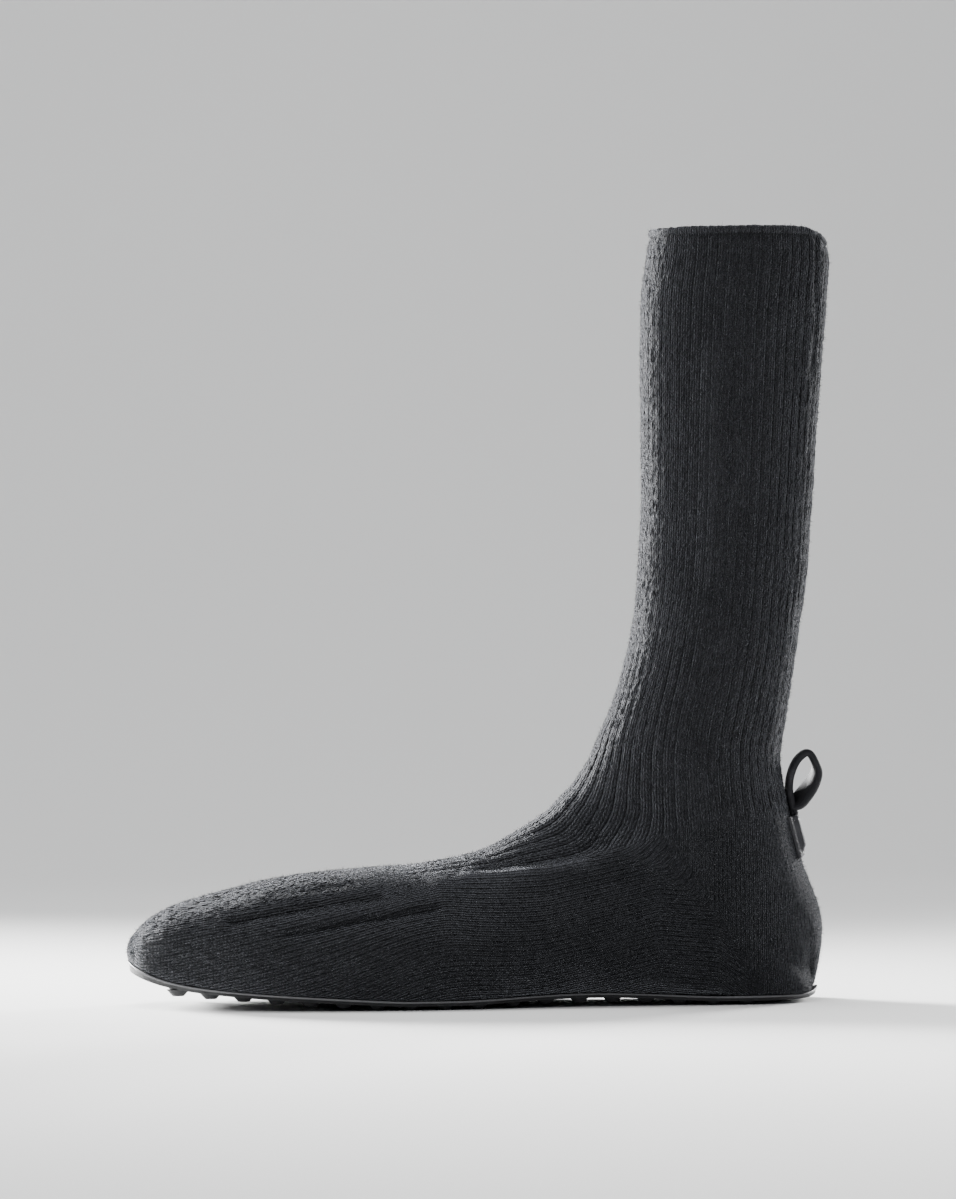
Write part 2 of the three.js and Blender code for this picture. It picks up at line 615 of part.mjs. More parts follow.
// Patch sewn over the strap's tail, cut from two faces that stand off the knit
function makeHeelPatch() {
  const points = [];
  const slopeFrom = STRAP_WIDTH / 2 + GAP;
  const slopeTo = STRAP_WIDTH / 2 + PATCH_SLOPE_WIDTH;
  for (const out of [0, PATCH_THICKNESS]) {
    for (let row = 0; row <= PATCH_ROWS; row += 1) {
      for (let c = 0; c <= PATCH_COLUMNS; c += 1) {
        const x = (c / PATCH_COLUMNS - 0.5) * PATCH_WIDTH;
        const lean = PATCH_LEAN * (backY(x, PATCH_TOP) - backY(0, PATCH_TOP));
        const up = PATCH_TOP - (row / PATCH_ROWS) * PATCH_HEIGHT - lean;
        const slopeX = (backY(x + SLOPE_STEP, up) - backY(x - SLOPE_STEP, up)) / (2 * SLOPE_STEP);
        const slopeZ = (backY(x, up + SLOPE_STEP) - backY(x, up - SLOPE_STEP)) / (2 * SLOPE_STEP);
        const normal = new THREE.Vector3(slopeX, -1, slopeZ).normalize();
        const beside = THREE.MathUtils.smoothstep(Math.abs(x), slopeFrom, slopeTo);
        const under = THREE.MathUtils.smoothstep(row / PATCH_ROWS, PATCH_SLOPE_FROM, 1);
        const over = (TAIL_THICKNESS + 2 * GAP) * (1 - beside) * (1 - under);
        points.push(new THREE.Vector3(x, backY(x, up), up).addScaledVector(normal, GAP + over + out));
      }
    }
  }
  const triangles = [];
  const width = PATCH_COLUMNS + 1;
  const layer = width * (PATCH_ROWS + 1);
  for (let row = 0; row < PATCH_ROWS; row += 1) {
    triangles.push(...band(row * width, (row + 1) * width, width, false));
    triangles.push(...band(layer + (row + 1) * width, layer + row * width, width, false));
  }
  const rim = [];
  for (let c = 0; c < width; c += 1) rim.push(c);
  for (let row = 1; row <= PATCH_ROWS; row += 1) rim.push(row * width + PATCH_COLUMNS);
  for (let c = PATCH_COLUMNS - 1; c >= 0; c -= 1) rim.push(PATCH_ROWS * width + c);
  for (let row = PATCH_ROWS - 1; row > 0; row -= 1) rim.push(row * width);
  rim.forEach((a, i) => {
    const b = rim[(i + 1) % rim.length];
    triangles.push([a, b, layer + b], [a, layer + b, layer + a]);
  });
  return body(points, triangles);
}

const PIECES = [
  { name: "upper", geometry: makeUpper(), finish: material(0x2b2c33, 0.95) },
  { name: "outsole", geometry: makeOutsole(), finish: material(0x17181b, 0.7) },
  { name: "insole", geometry: makeInsole(), finish: material(0x1d1e22, 0.9) },
  { name: "pull_loop", geometry: makePullLoop(), finish: material(0x111114, 0.4) },
  { name: "heel_patch", geometry: makeHeelPatch(), finish: material(0x111114, 0.4) },
];

const boot = new THREE.Group();
boot.position.y = -HEEL_SEAT_FROM_HEEL;
for (const { name, geometry, finish } of PIECES) {
  const mesh = new THREE.Mesh(geometry, finish);
  mesh.name = name;
  boot.add(mesh);
}

export default boot;
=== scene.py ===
"""Knit sock boot for the left foot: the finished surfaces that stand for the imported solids.

Sizes are in millimetres with Y counted from the heel, as a maker measures a boot. The meshes are in
metres, in the frame of the solids, whose origin lies under the middle stud of the heel.
"""
import logging
import math
from dataclasses import dataclass, field
from enum import Enum
from typing import Any, NamedTuple

import bmesh
import bpy
import numpy as np
from bpy.types import Material, Mesh, Node, NodeSocket, NodeTree, Object
from mathutils import Matrix, Vector


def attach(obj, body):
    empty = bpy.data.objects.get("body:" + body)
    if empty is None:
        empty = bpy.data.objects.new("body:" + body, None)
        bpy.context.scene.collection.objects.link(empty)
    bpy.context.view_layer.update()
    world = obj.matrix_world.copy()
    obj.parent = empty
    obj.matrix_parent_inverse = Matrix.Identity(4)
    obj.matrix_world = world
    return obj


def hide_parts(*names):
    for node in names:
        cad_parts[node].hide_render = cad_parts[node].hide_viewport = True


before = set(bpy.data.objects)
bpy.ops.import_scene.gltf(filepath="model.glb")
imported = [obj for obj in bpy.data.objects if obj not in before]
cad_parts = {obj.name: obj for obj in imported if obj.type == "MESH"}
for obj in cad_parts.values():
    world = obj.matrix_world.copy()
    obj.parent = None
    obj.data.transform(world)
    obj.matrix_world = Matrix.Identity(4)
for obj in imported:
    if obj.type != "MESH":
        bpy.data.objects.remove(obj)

MM = 0.001
TINY = 1e-9
SHORT_STEP = 1e-4
BODY = "root"
log = logging.getLogger("knit_boot")


class Side(Enum):
    """The two sides of a left boot."""

    OUTER = -1
    INNER = 1


class Slot(Enum):
    """Material slots of the record."""

    KNIT = "knit"
    RUBBER = "sole_rubber"
    BOARD = "insole_board"
    LEATHER = "trim_leather"


def smooth_step(value: np.ndarray, low: float, high: float) -> np.ndarray:
    """Rises from 0 at low to 1 at high with level ends."""
    share = np.clip((value - low) / (high - low), 0.0, 1.0)
    return share * share * (3.0 - 2.0 * share)


def cubic_between(
    start: np.ndarray, end: np.ndarray, start_slope: np.ndarray, end_slope: np.ndarray, w: np.ndarray
) -> np.ndarray:
    """Cubic curve from one point to the next with given slopes, at shares w of the way."""
    return (
        start
        + start_slope * w
        + (-3 * start + 3 * end - 2 * start_slope - end_slope) * w**2
        + (2 * start - 2 * end + start_slope + end_slope) * w**3
    )


def unit(vectors: np.ndarray) -> np.ndarray:
    """Vectors scaled to a length of one."""
    return vectors / np.maximum(np.linalg.norm(vectors, axis=-1, keepdims=True), TINY)


def curve_through(points: np.ndarray, t: np.ndarray) -> np.ndarray:
    """Centripetal curve through points.

    Args:
        points: rows of points, in order.
        t: places on the curve, 0 at the first point and 1 at the last.

    Returns:
        One row for each place.
    """
    ends = np.vstack([2 * points[0] - points[1], points, 2 * points[-1] - points[-2]])
    place = np.clip(t, 0.0, 1.0) * (len(points) - 1)
    first = np.minimum(place.astype(int), len(points) - 2)
    w = (place - first)[:, None]
    p0, p1, p2, p3 = (ends[first + k] for k in range(4))
    pairs = ((p0, p1), (p1, p2), (p2, p3))
    step0, step1, step2 = (np.sqrt(np.linalg.norm(b - a, axis=1))[:, None] for a, b in pairs)
    step1 = np.where(step1 < SHORT_STEP, 1.0, step1)
    step0 = np.where(step0 < SHORT_STEP, step1, step0)
    step2 = np.where(step2 < SHORT_STEP, step1, step2)
    slope1 = ((p1 - p0) / step0 - (p2 - p0) / (step0 + step1) + (p2 - p1) / step1) * step1
    slope2 = ((p2 - p1) / step1 - (p3 - p1) / (step1 + step2) + (p3 - p2) / step2) * step1
    return cubic_between(p1, p2, slope1, slope2, w)


def spline_through(points: np.ndarray, t: np.ndarray) -> np.ndarray:
    """Uniform spline through points.

    Args:
        points: rows of points, in order.
        t: places on the spline, 0 at the first point and 1 at the last.

    Returns:
        One row for each place.
    """
    last = len(points) - 1
    place = np.clip(t, 0.0, 1.0) * last
    first = np.minimum(place.astype(int), last - 1)
    w = (place - first)[:, None]
    p0, p1, p2, p3 = (points[np.clip(first + k, 0, last)] for k in (-1, 0, 1, 2))
    return cubic_between(p1, p2, (p2 - p0) / 2, (p3 - p1) / 2, w)


class OutlineRow(NamedTuple):
    """Row of the sole's outline: share of the length, then middle line and half width in millimetres."""

    at: float
    middle: float
    half: float


@dataclass(frozen=True)
class SoleForm:
    """Outline, arch and springing of the moulded sole."""

    length: float = 262.6
    heel_width: float = 62.0
    waist_width: float = 60.0
    ball_width: float = 90.0
    toe_width: float = 76.0
    toe_lean: float = 11.0
    thickness: float = 1.9
    stud_height: float = 1.5
    heel_seat: float = 29.5
    heel_end_round: float = 30.0
    toe_end_round: float = 58.0
    heel_setback: float = 2.4
    toe_setback: float = 1.0
    arch_rise: float = 1.8
    toe_spring: float = 6.4
    toe_curl: float = 7.7
    toe_thickening: float = 0.22
    heel_curl: float = 3.6
    arch_from: float = 0.145
    arch_to: float = 0.52
    ball_end: float = 0.595
    heel_end: float = 0.035
    arch_power: float = 1.5
    spring_power: float = 1.1
    toe_curl_power: float = 8
    heel_curl_power: float = 2.5
    heel_fullness: float = 2.2
    toe_fullness: float = 2.3

    def rows(self) -> tuple[OutlineRow, ...]:
        """Rows of the outline from the heel to the toe."""
        lean = self.toe_lean
        return (
            OutlineRow(0.0, 0.0, 0.45 * self.heel_width),
            OutlineRow(0.11, 0.0, 0.47 * self.heel_width),
            OutlineRow(0.23, -0.09 * lean, 0.45 * self.heel_width),
            OutlineRow(0.36, -0.23 * lean, 0.465 * self.waist_width),
            OutlineRow(0.5, -0.09 * lean, 0.42 * self.ball_width),
            OutlineRow(0.63, 0.09 * lean, 0.475 * self.ball_width),
            OutlineRow(0.76, 0.32 * lean, 0.475 * self.ball_width),
            OutlineRow(0.88, 0.64 * lean, 0.5 * self.toe_width),
            OutlineRow(1.0, lean, 0.47 * self.toe_width),
        )

    def column(self, name: str, y: np.ndarray) -> np.ndarray:
        """Smooth curve through one column of the outline's rows.

        Args:
            name: the column, middle or half.
            y: distances from the heel.

        Returns:
            Its value at each distance.
        """
        rows = self.rows()
        at = np.array([row.at for row in rows])
        values = np.array([getattr(row, name) for row in rows])
        last = len(rows) - 1
        share = np.asarray(y, float) / self.length
        b = np.clip(np.searchsorted(at, share, side="right") - 1, 0, last - 1)
        a, c, d = np.maximum(b - 1, 0), b + 1, np.minimum(b + 2, last)
        span = at[c] - at[b]
        u = np.clip((share - at[b]) / span, 0.0, 1.0)
        slope_b = (values[c] - values[a]) / (at[c] - at[a]) * span
        slope_c = (values[d] - values[b]) / (at[d] - at[b]) * span
        return (
            (2 * u**3 - 3 * u**2 + 1) * values[b]
            + (u**3 - 2 * u**2 + u) * slope_b
            + (3 * u**2 - 2 * u**3) * values[c]
            + (u**3 - u**2) * slope_c
        )

    def tread(self, y: np.ndarray) -> np.ndarray:
        """Height of the studs' feet: flat under heel and ball, raised arch and sprung toe."""
        share = np.asarray(y, float) / self.length
        arch = np.clip((share - self.arch_from) / (self.arch_to - self.arch_from), 0.0, 1.0)
        toe = np.clip((share - self.ball_end) / (1.0 - self.ball_end), 0.0, 1.0)
        arch_height = self.arch_rise * np.sin(np.pi * arch) ** self.arch_power
        return arch_height + self.toe_spring * toe**self.spring_power

    def curl(self, y: np.ndarray) -> np.ndarray:
        """How far the two ends of the sole curl up."""
        share = np.asarray(y, float) / self.length
        toe = np.clip((share - self.ball_end) / (1.0 - self.ball_end), 0.0, 1.0)
        heel = np.clip(1.0 - share / self.heel_end, 0.0, 1.0)
        return self.toe_curl * toe**self.toe_curl_power + self.heel_curl * heel**self.heel_curl_power

    def seat(self, y: np.ndarray) -> np.ndarray:
        """Height of the sole's top face over the floor."""
        return self.tread(y) + self.stud_height + self.thickness + self.curl(y)

    def edge(self, side: np.ndarray | int, y: np.ndarray, inset: float = 0.0) -> np.ndarray:
        """X of the outline.

        Args:
            side: -1 on the outer side, 1 on the inner side.
            y: distances from the heel.
            inset: how far inside the sole's own outline the line runs.

        Returns:
            X in millimetres.
        """
        y = np.asarray(y, float)
        from_heel = (y - self.heel_setback - inset) / (self.heel_end_round - inset)
        from_toe = (self.length - self.toe_setback - inset - y) / (self.toe_end_round - inset)
        heel = self.end_round(from_heel, self.heel_fullness)
        toe = self.end_round(from_toe, self.toe_fullness)
        return self.column("middle", y) + side * (self.column("half", y) - inset) * heel * toe

    @staticmethod
    def end_round(share: np.ndarray, fullness: float) -> np.ndarray:
        """Share of the full width near an end, from 0 at the end to 1 where the rounding stops."""
        return (1.0 - (1.0 - np.clip(share, 0.0, 1.0)) ** fullness) ** (1 / fullness)


class ShaftRow(NamedTuple):
    """Section of the shaft: front and back points as shares of its depth and height, and its fullness."""

    front: float
    front_up: float
    back: float
    back_up: float
    half: float
    widest: float
    round: float
    under: float


class AnkleRow(NamedTuple):
    """Section through ankle and heel: top and bottom points as shares of named sizes, and its fullness."""

    along: float
    up: float
    back: float
    back_up: float
    half: float
    widest: float
    flat: float


class FootRow(NamedTuple):
    """Section of the foot: top and bottom points, ridge and middle as shares, and its fullness."""

    along: float
    up: float
    bottom: float
    ridge: float
    centre: float
    outer: float
    inner: float
    widest: float
    round: float


class Fold(NamedTuple):
    """A soft trough or ridge of the knit on a line of Y and Z, and its painted light on the yarn: painted
    shade below 0, painted highlight above 0.
    """

    depth: float
    spread: float
    inner: float
    # Painted light: below 0 a painted shade, above 0 a painted highlight.
    tone: float
    line: tuple[tuple[float, float], ...]


@dataclass(frozen=True)
class KnitForm:
    """The last's shape under the knit, worked out as in the solids."""

    sole: SoleForm = field(default_factory=SoleForm)
    height: float = 290.8
    ankle_height: float = 128.0
    instep_height: float = 61.5
    hollow_height: float = 90.0
    shaft_depth: float = 70.0
    shaft_width: float = 54.0
    shaft_axis: float = 33.0
    ankle_width: float = 58.0
    collar_dip: float = 4.5
    collar_share: float = 0.06
    wall: float = 2.2
    gap: float = 0.3
    flat_share: float = 0.2
    margin: float = 9.0
    normal_step: float = 0.002
    dip_power: float = 8
    round_under: float = 22
    ankle_over: float = 21

    def shaft_rows(self) -> tuple[ShaftRow, ...]:
        """Sections of the shaft from the collar down."""
        return (
            ShaftRow(0.408, 1.0, -0.535, 1.0, 0.5, 0.5, 2.2, 2.1),
            ShaftRow(0.43, 0.935, -0.555, 0.935, 0.5, 0.5, 2.2, 2.1),
            ShaftRow(0.46, 0.835, -0.537, 0.832, 0.5, 0.5, 2.2, 2.1),
            ShaftRow(0.468, 0.593, -0.49, 0.593, 0.495, 0.5, 2.2, 2.1),
            ShaftRow(0.474, 0.349, -0.444, 0.349, 0.49, 0.5, 2.2, 2.1),
            ShaftRow(0.494, 0.212, -0.41, 0.183, 0.495, 0.5, 2.1, 2.1),
        )

    def ankle_rows(self) -> tuple[AnkleRow, ...]:
        """Sections that turn from the shaft to the foot."""
        return (
            AnkleRow(0.267, 1.094, 0.031, 1.478, 0.5, 0.5, 0.0),
            AnkleRow(0.2815, 0.977, 0.043, 1.244, 0.505, 0.5, 0.0),
            AnkleRow(0.2975, 0.875, 0.056, 1.011, 0.51, 0.5, 0.0),
            AnkleRow(0.3155, 0.793, 0.0475, 0.844, 0.52, 0.52, 0.0),
            AnkleRow(0.3335, 0.711, 0.0265, 0.589, 0.53, 0.56, 0.0),
            AnkleRow(0.3545, 0.645, 0.0, 0.333, 0.535, 0.6, 0.05),
            AnkleRow(0.3735, 0.604, 0.006, 0.133, 0.535, 0.63, 0.45),
        )

    def foot_rows(self) -> tuple[FootRow, ...]:
        """Sections of the foot from the heel to the toe."""
        heel, ball, toe = self.sole.heel_width, self.sole.ball_width, self.sole.toe_width
        return (
            FootRow(0.392, 1.178, 0.018, 0.09, 0, 0.5 * heel, 0.5 * heel, 0.65, 2.1),
            FootRow(0.415, 1.11, 0.103, 0.14, 0, 0.52 * heel, 0.51 * heel, 0.7, 2.1),
            FootRow(0.4455, 1.034, 0.221, 0.18, 0, 0.56 * heel, 0.52 * heel, 0.72, 2.1),
            FootRow(0.487, 0.94, 0.362, 0.27, 0, 0.42 * ball, 0.38 * ball, 0.72, 2.1),
            FootRow(0.556, 0.87, 0.495, 0.36, 0, 0.475 * ball, 0.44 * ball, 0.72, 2.1),
            FootRow(0.64, 0.838, 0.609, 0.45, 0.14, 0.515 * ball, 0.482 * ball, 0.7, 2.15),
            FootRow(0.7235, 0.812, 0.708, 0.55, 0.27, 0.515 * ball, 0.495 * ball, 0.68, 2.2),
            FootRow(0.807, 0.758, 0.8, 0.64, 0.45, 0.59 * toe, 0.565 * toe, 0.65, 2.25),
            FootRow(0.8835, 0.673, 0.88, 0.73, 0.64, 0.49 * toe, 0.485 * toe, 0.61, 2.3),
            FootRow(0.9405, 0.595, 0.939, 0.82, 0.77, 0.38 * toe, 0.385 * toe, 0.57, 2.3),
            FootRow(0.975, 0.507, 0.975, 0.91, 0.91, 0.26 * toe, 0.258 * toe, 0.53, 2.3),
            FootRow(0.9925, 0.423, 0.9925, 1, 1, 0.14 * toe, 0.135 * toe, 0.5, 2.2),
        )

    def sections(self) -> tuple[np.ndarray, np.ndarray, np.ndarray, np.ndarray]:
        """Points of the four guiding curves: top line, bottom line, widths and fullness.

        Returns:
            Rows of places on the top line, then on the bottom line, then rows of outer half width, inner half
            width and share down to the widest place times the length, then rows of upper roundness, lower
            roundness and flatness underneath, each times ten.
        """
        top, bottom, width, fullness = [], [], [], []
        length = self.sole.length
        axis, depth = self.shaft_axis, self.shaft_depth
        low, rise = self.ankle_height, self.height - self.ankle_height
        for row in self.shaft_rows():
            top.append((0, axis + row.front * depth, low + row.front_up * rise))
            bottom.append((0, axis + row.back * depth, low + row.back_up * rise))
            width.append((row.half * self.shaft_width, row.half * self.shaft_width, row.widest * length))
            fullness.append((row.round * 10, row.under * 10, 0))
        for row in self.ankle_rows():
            top.append((0, row.along * length, row.up * self.ankle_height))
            bottom.append((0, row.back * length, row.back_up * self.hollow_height))
            width.append((row.half * self.ankle_width, row.half * self.ankle_width, row.widest * length))
            fullness.append((self.ankle_over, self.round_under, row.flat * 10))
        for row in self.foot_rows():
            y = row.bottom * length
            top.append((row.ridge * self.sole.toe_lean, row.along * length, row.up * self.instep_height))
            bottom.append((row.centre * self.sole.toe_lean, y, float(self.sole.seat(y)) + self.gap))
            width.append((row.outer, row.inner, row.widest * length))
            fullness.append((row.round * 10, self.round_under, 10))
        return tuple(np.array(rows, float) for rows in (top, bottom, width, fullness))

    def toe_tip(self) -> np.ndarray:
        """Foremost point of the knit."""
        return np.array([self.sole.toe_lean, self.sole.length, 0.33 * self.instep_height])

    def points(self, t: np.ndarray, turn: np.ndarray) -> np.ndarray:
        """Points of the knit's outer face.

        Args:
            t: one place along the tube for each ring, 0 at the collar and 1 at the toe.
            turn: for each ring its places around, 0 on the top line, up to a half on the outer side.

        Returns:
            An array of rings of points in millimetres.
        """
        sections = self.sections()
        top, bottom, width, fullness = (curve_through(rows, t)[:, None, :] for rows in sections)
        side = np.where(turn <= 0.5, -1.0, 1.0)
        share = np.where(turn <= 0.5, 2 * turn, 2 - 2 * turn)
        reach = np.where(side < 0, width[..., 0], width[..., 1])
        widest = width[..., 2] / self.sole.length
        angle = share * np.pi
        cosine = np.cos(angle)
        sine = np.maximum(np.sin(angle), 0.0)
        upper_power = 20 / fullness[..., 0]
        upper_down = widest * (1 - np.maximum(cosine, 0.0) ** upper_power)
        upper_x = top[..., 0] + (bottom[..., 0] + side * reach - top[..., 0]) * sine**upper_power
        under_power = 20 / fullness[..., 1]
        round_down = widest + (1 - widest) * np.abs(cosine) ** under_power
        round_x = bottom[..., 0] + side * reach * sine**under_power
        low = np.broadcast_to(bottom[..., 1], turn.shape)
        edge = self.sole.edge(side, low)
        middle = self.sole.column("middle", low)
        corner = np.clip((share - 0.5) / (0.5 - self.flat_share), 0.0, 1.0) * np.pi / 2
        inward = np.clip((share - 1 + self.flat_share) / self.flat_share, 0.0, 1.0)
        widest_x = bottom[..., 0] + side * reach
        flat_down = widest + (1 - widest) * np.sin(corner)
        beneath_x = edge + (middle - edge) * inward
        flat_x = np.where(inward > 0, beneath_x, edge + (widest_x - edge) * np.cos(corner))
        flat = np.clip(fullness[..., 2] / 10, 0.0, 1.0)
        lower = share > 0.5
        down = np.where(lower, round_down + (flat_down - round_down) * flat, upper_down)
        x = np.where(lower, round_x + (flat_x - round_x) * flat, upper_x)
        y = top[..., 1] + (bottom[..., 1] - top[..., 1]) * down
        z = top[..., 2] + (bottom[..., 2] - top[..., 2]) * down
        dip = np.maximum(-np.cos(turn * 2 * np.pi), 0.0) ** self.dip_power
        z = z - self.collar_dip * dip * np.maximum(1 - t[:, None] / self.collar_share, 0.0)
        return np.stack([x, y, np.maximum(z, self.sole.seat(y) + self.gap)], axis=-1)

    def normals(self, t: np.ndarray, turn: np.ndarray) -> np.ndarray:
        """Outward normals of the knit's outer face at the same places."""
        step = self.normal_step
        along = self.points(np.minimum(t + step, 1.0), turn) - self.points(np.maximum(t - step, 0.0), turn)
        around = self.points(t, (turn + 2 * step) % 1.0) - self.points(t, (turn - 2 * step) % 1.0)
        return unit(np.cross(along, around))

    def back_at(self, x: np.ndarray, z: np.ndarray) -> np.ndarray:
        """Y of the knit's back over the heel, found by Newton's steps.

        Args:
            x: places across the boot.
            z: heights of the same places.

        Returns:
            Y of each place in millimetres.
        """
        x = np.asarray(x, float)
        z = np.asarray(z, float)
        side = np.where(x < 0, -1.0, 1.0)
        guide_t = np.linspace(0.25, 0.52, 200)
        guide_z = curve_through(self.sections()[1], guide_t)[:, 2]
        t = np.interp(z, guide_z[::-1], guide_t[::-1])
        away = np.abs(x) / (3.2 * self.ankle_width)
        small = 1e-4
        steps = 9
        for _ in range(steps):
            here = self.points(t, (0.5 + side * away)[:, None])[:, 0]
            beside = self.points(t, (0.5 + side * (away + small))[:, None])[:, 0]
            below = self.points(t + small, (0.5 + side * away)[:, None])[:, 0]
            # Slopes of X and Z, first by the place around the ring and then by the place along the tube.
            xa, za = (beside[:, 0] - here[:, 0]) / small, (beside[:, 2] - here[:, 2]) / small
            xt, zt = (below[:, 0] - here[:, 0]) / small, (below[:, 2] - here[:, 2]) / small
            dx, dz = x - here[:, 0], z - here[:, 2]
            size = xa * zt - xt * za
            size = np.where(np.abs(size) < 1e-6, 1e-6, size)
            away = np.clip(away + (dx * zt - xt * dz) / size, 0.0, 0.22)
            t = np.clip(t + (xa * dz - za * dx) / size, 0.2, 0.56)
        return self.points(t, (0.5 + side * away)[:, None])[:, 0, 1]


def distance_to_line(y: np.ndarray, z: np.ndarray, line: tuple[tuple[float, float], ...]) -> np.ndarray:
    """Distance of places in the side view from a broken line.

    Args:
        y: distances from the heel.
        z: heights.
        line: corners of the line, as pairs of Y and Z.

    Returns:
        One distance for each place.
    """
    nearest = np.full(np.shape(y), np.inf)
    for (y0, z0), (y1, z1) in zip(line, line[1:]):
        dy, dz = y1 - y0, z1 - z0
        share = np.clip(((y - y0) * dy + (z - z0) * dz) / (dy * dy + dz * dz), 0.0, 1.0)
        nearest = np.minimum(nearest, np.hypot(y - y0 - share * dy, z - z0 - share * dz))
    return nearest


def new_mesh(name: str, points: np.ndarray, faces: list[tuple[int, ...]]) -> Mesh:
    """Mesh in the frame of the solids from points in millimetres counted from the heel.

    Args:
        name: name of the mesh.
        points: rows of X, Y, Z in millimetres.
        faces: corners of each face.

    Returns:
        The new mesh, in metres.
    """
    placed = (np.asarray(points, float) - (0.0, SoleForm().heel_seat, 0.0)) * MM
    mesh = bpy.data.meshes.new(name)
    mesh.from_pydata(placed.tolist(), [], faces)
    mesh.update()
    return mesh


def new_object(name: str, mesh: Mesh, material: Material | None, smooth: bool = True) -> Object:
    """Object at the origin that shows a mesh.

    Args:
        name: name of the object.
        mesh: its mesh, in metres.
        material: its material, or none where the mesh has its own.
        smooth: whether the faces are shaded smoothly.

    Returns:
        The new object.
    """
    obj = bpy.data.objects.new(name, mesh)
    bpy.context.scene.collection.objects.link(obj)
    if material is not None:
        mesh.materials.append(material)
    if smooth:
        mesh.polygons.foreach_set("use_smooth", [True] * len(mesh.polygons))
    return obj


def tidy_mesh(mesh: Mesh, merge: float = 0.002) -> None:
    """Merges doubled points and turns all faces outwards.

    Args:
        mesh: the mesh, changed in place.
        merge: distance in millimetres within which points are one.
    """
    work = bmesh.new()
    work.from_mesh(mesh)
    bmesh.ops.remove_doubles(work, verts=work.verts, dist=merge * MM)
    bmesh.ops.recalc_face_normals(work, faces=work.faces)
    work.to_mesh(mesh)
    work.free()
    mesh.update()


def write_number(mesh: Mesh, name: str, values: np.ndarray) -> None:
    """Writes an attribute from one number for each point."""
    layer = mesh.attributes.new(name, "FLOAT", "POINT")
    layer.data.foreach_set("value", values.astype(np.float32))


def write_map(mesh: Mesh, name: str, values: np.ndarray) -> None:
    """Writes a UV map from one pair of numbers for each point."""
    corners = np.zeros(len(mesh.loops), int)
    mesh.loops.foreach_get("vertex_index", corners)
    layer = mesh.uv_layers.new(name=name)
    layer.data.foreach_set("uv", values[corners].astype(np.float32).ravel())


def rounded_edge(distance: np.ndarray, radius: float) -> np.ndarray:
    """How far a quarter round falls away at distances from an edge, from the radius at the edge to 0."""
    near = np.clip(radius - distance, 0.0, radius)
    return radius - np.sqrt(np.maximum(radius**2 - near**2, 0.0))


def bell(distance: np.ndarray, spread: float) -> np.ndarray:
    """Bell curve of a distance: 1 at no distance, falling away over the spread."""
    return np.exp(-((distance / spread) ** 2))


def sheet_faces(rows: int, columns: int, start: int = 0, flip: bool = False) -> list[tuple[int, ...]]:
    """Four-cornered faces of an open grid.

    Args:
        rows: number of rows of points.
        columns: number of points in a row.
        start: number of the grid's first point.
        flip: whether the faces look the other way.

    Returns:
        Corners of each face.
    """
    faces = []
    for i in range(rows - 1):
        for j in range(columns - 1):
            a = start + i * columns + j
            face = (a, a + columns, a + columns + 1, a + 1)
            faces.append(face[::-1] if flip else face)
    return faces


def zip_rows(first: list[int], second: list[int]) -> list[tuple[int, ...]]:
    """Triangles between two rows of points that start and end side by side.

    Args:
        first: numbers of the points of one row.
        second: numbers of the points of the other, of any count.

    Returns:
        Corners of each triangle.
    """
    faces = []
    i = j = 0
    while i + 1 < len(first) or j + 1 < len(second):
        next_first = (i + 1) / max(len(first) - 1, 1) if i + 1 < len(first) else 2.0
        next_second = (j + 1) / max(len(second) - 1, 1) if j + 1 < len(second) else 2.0
        if next_first <= next_second:
            faces.append((first[i], first[i + 1], second[j]))
            i += 1
        else:
            faces.append((first[i], second[j + 1], second[j]))
            j += 1
    return faces


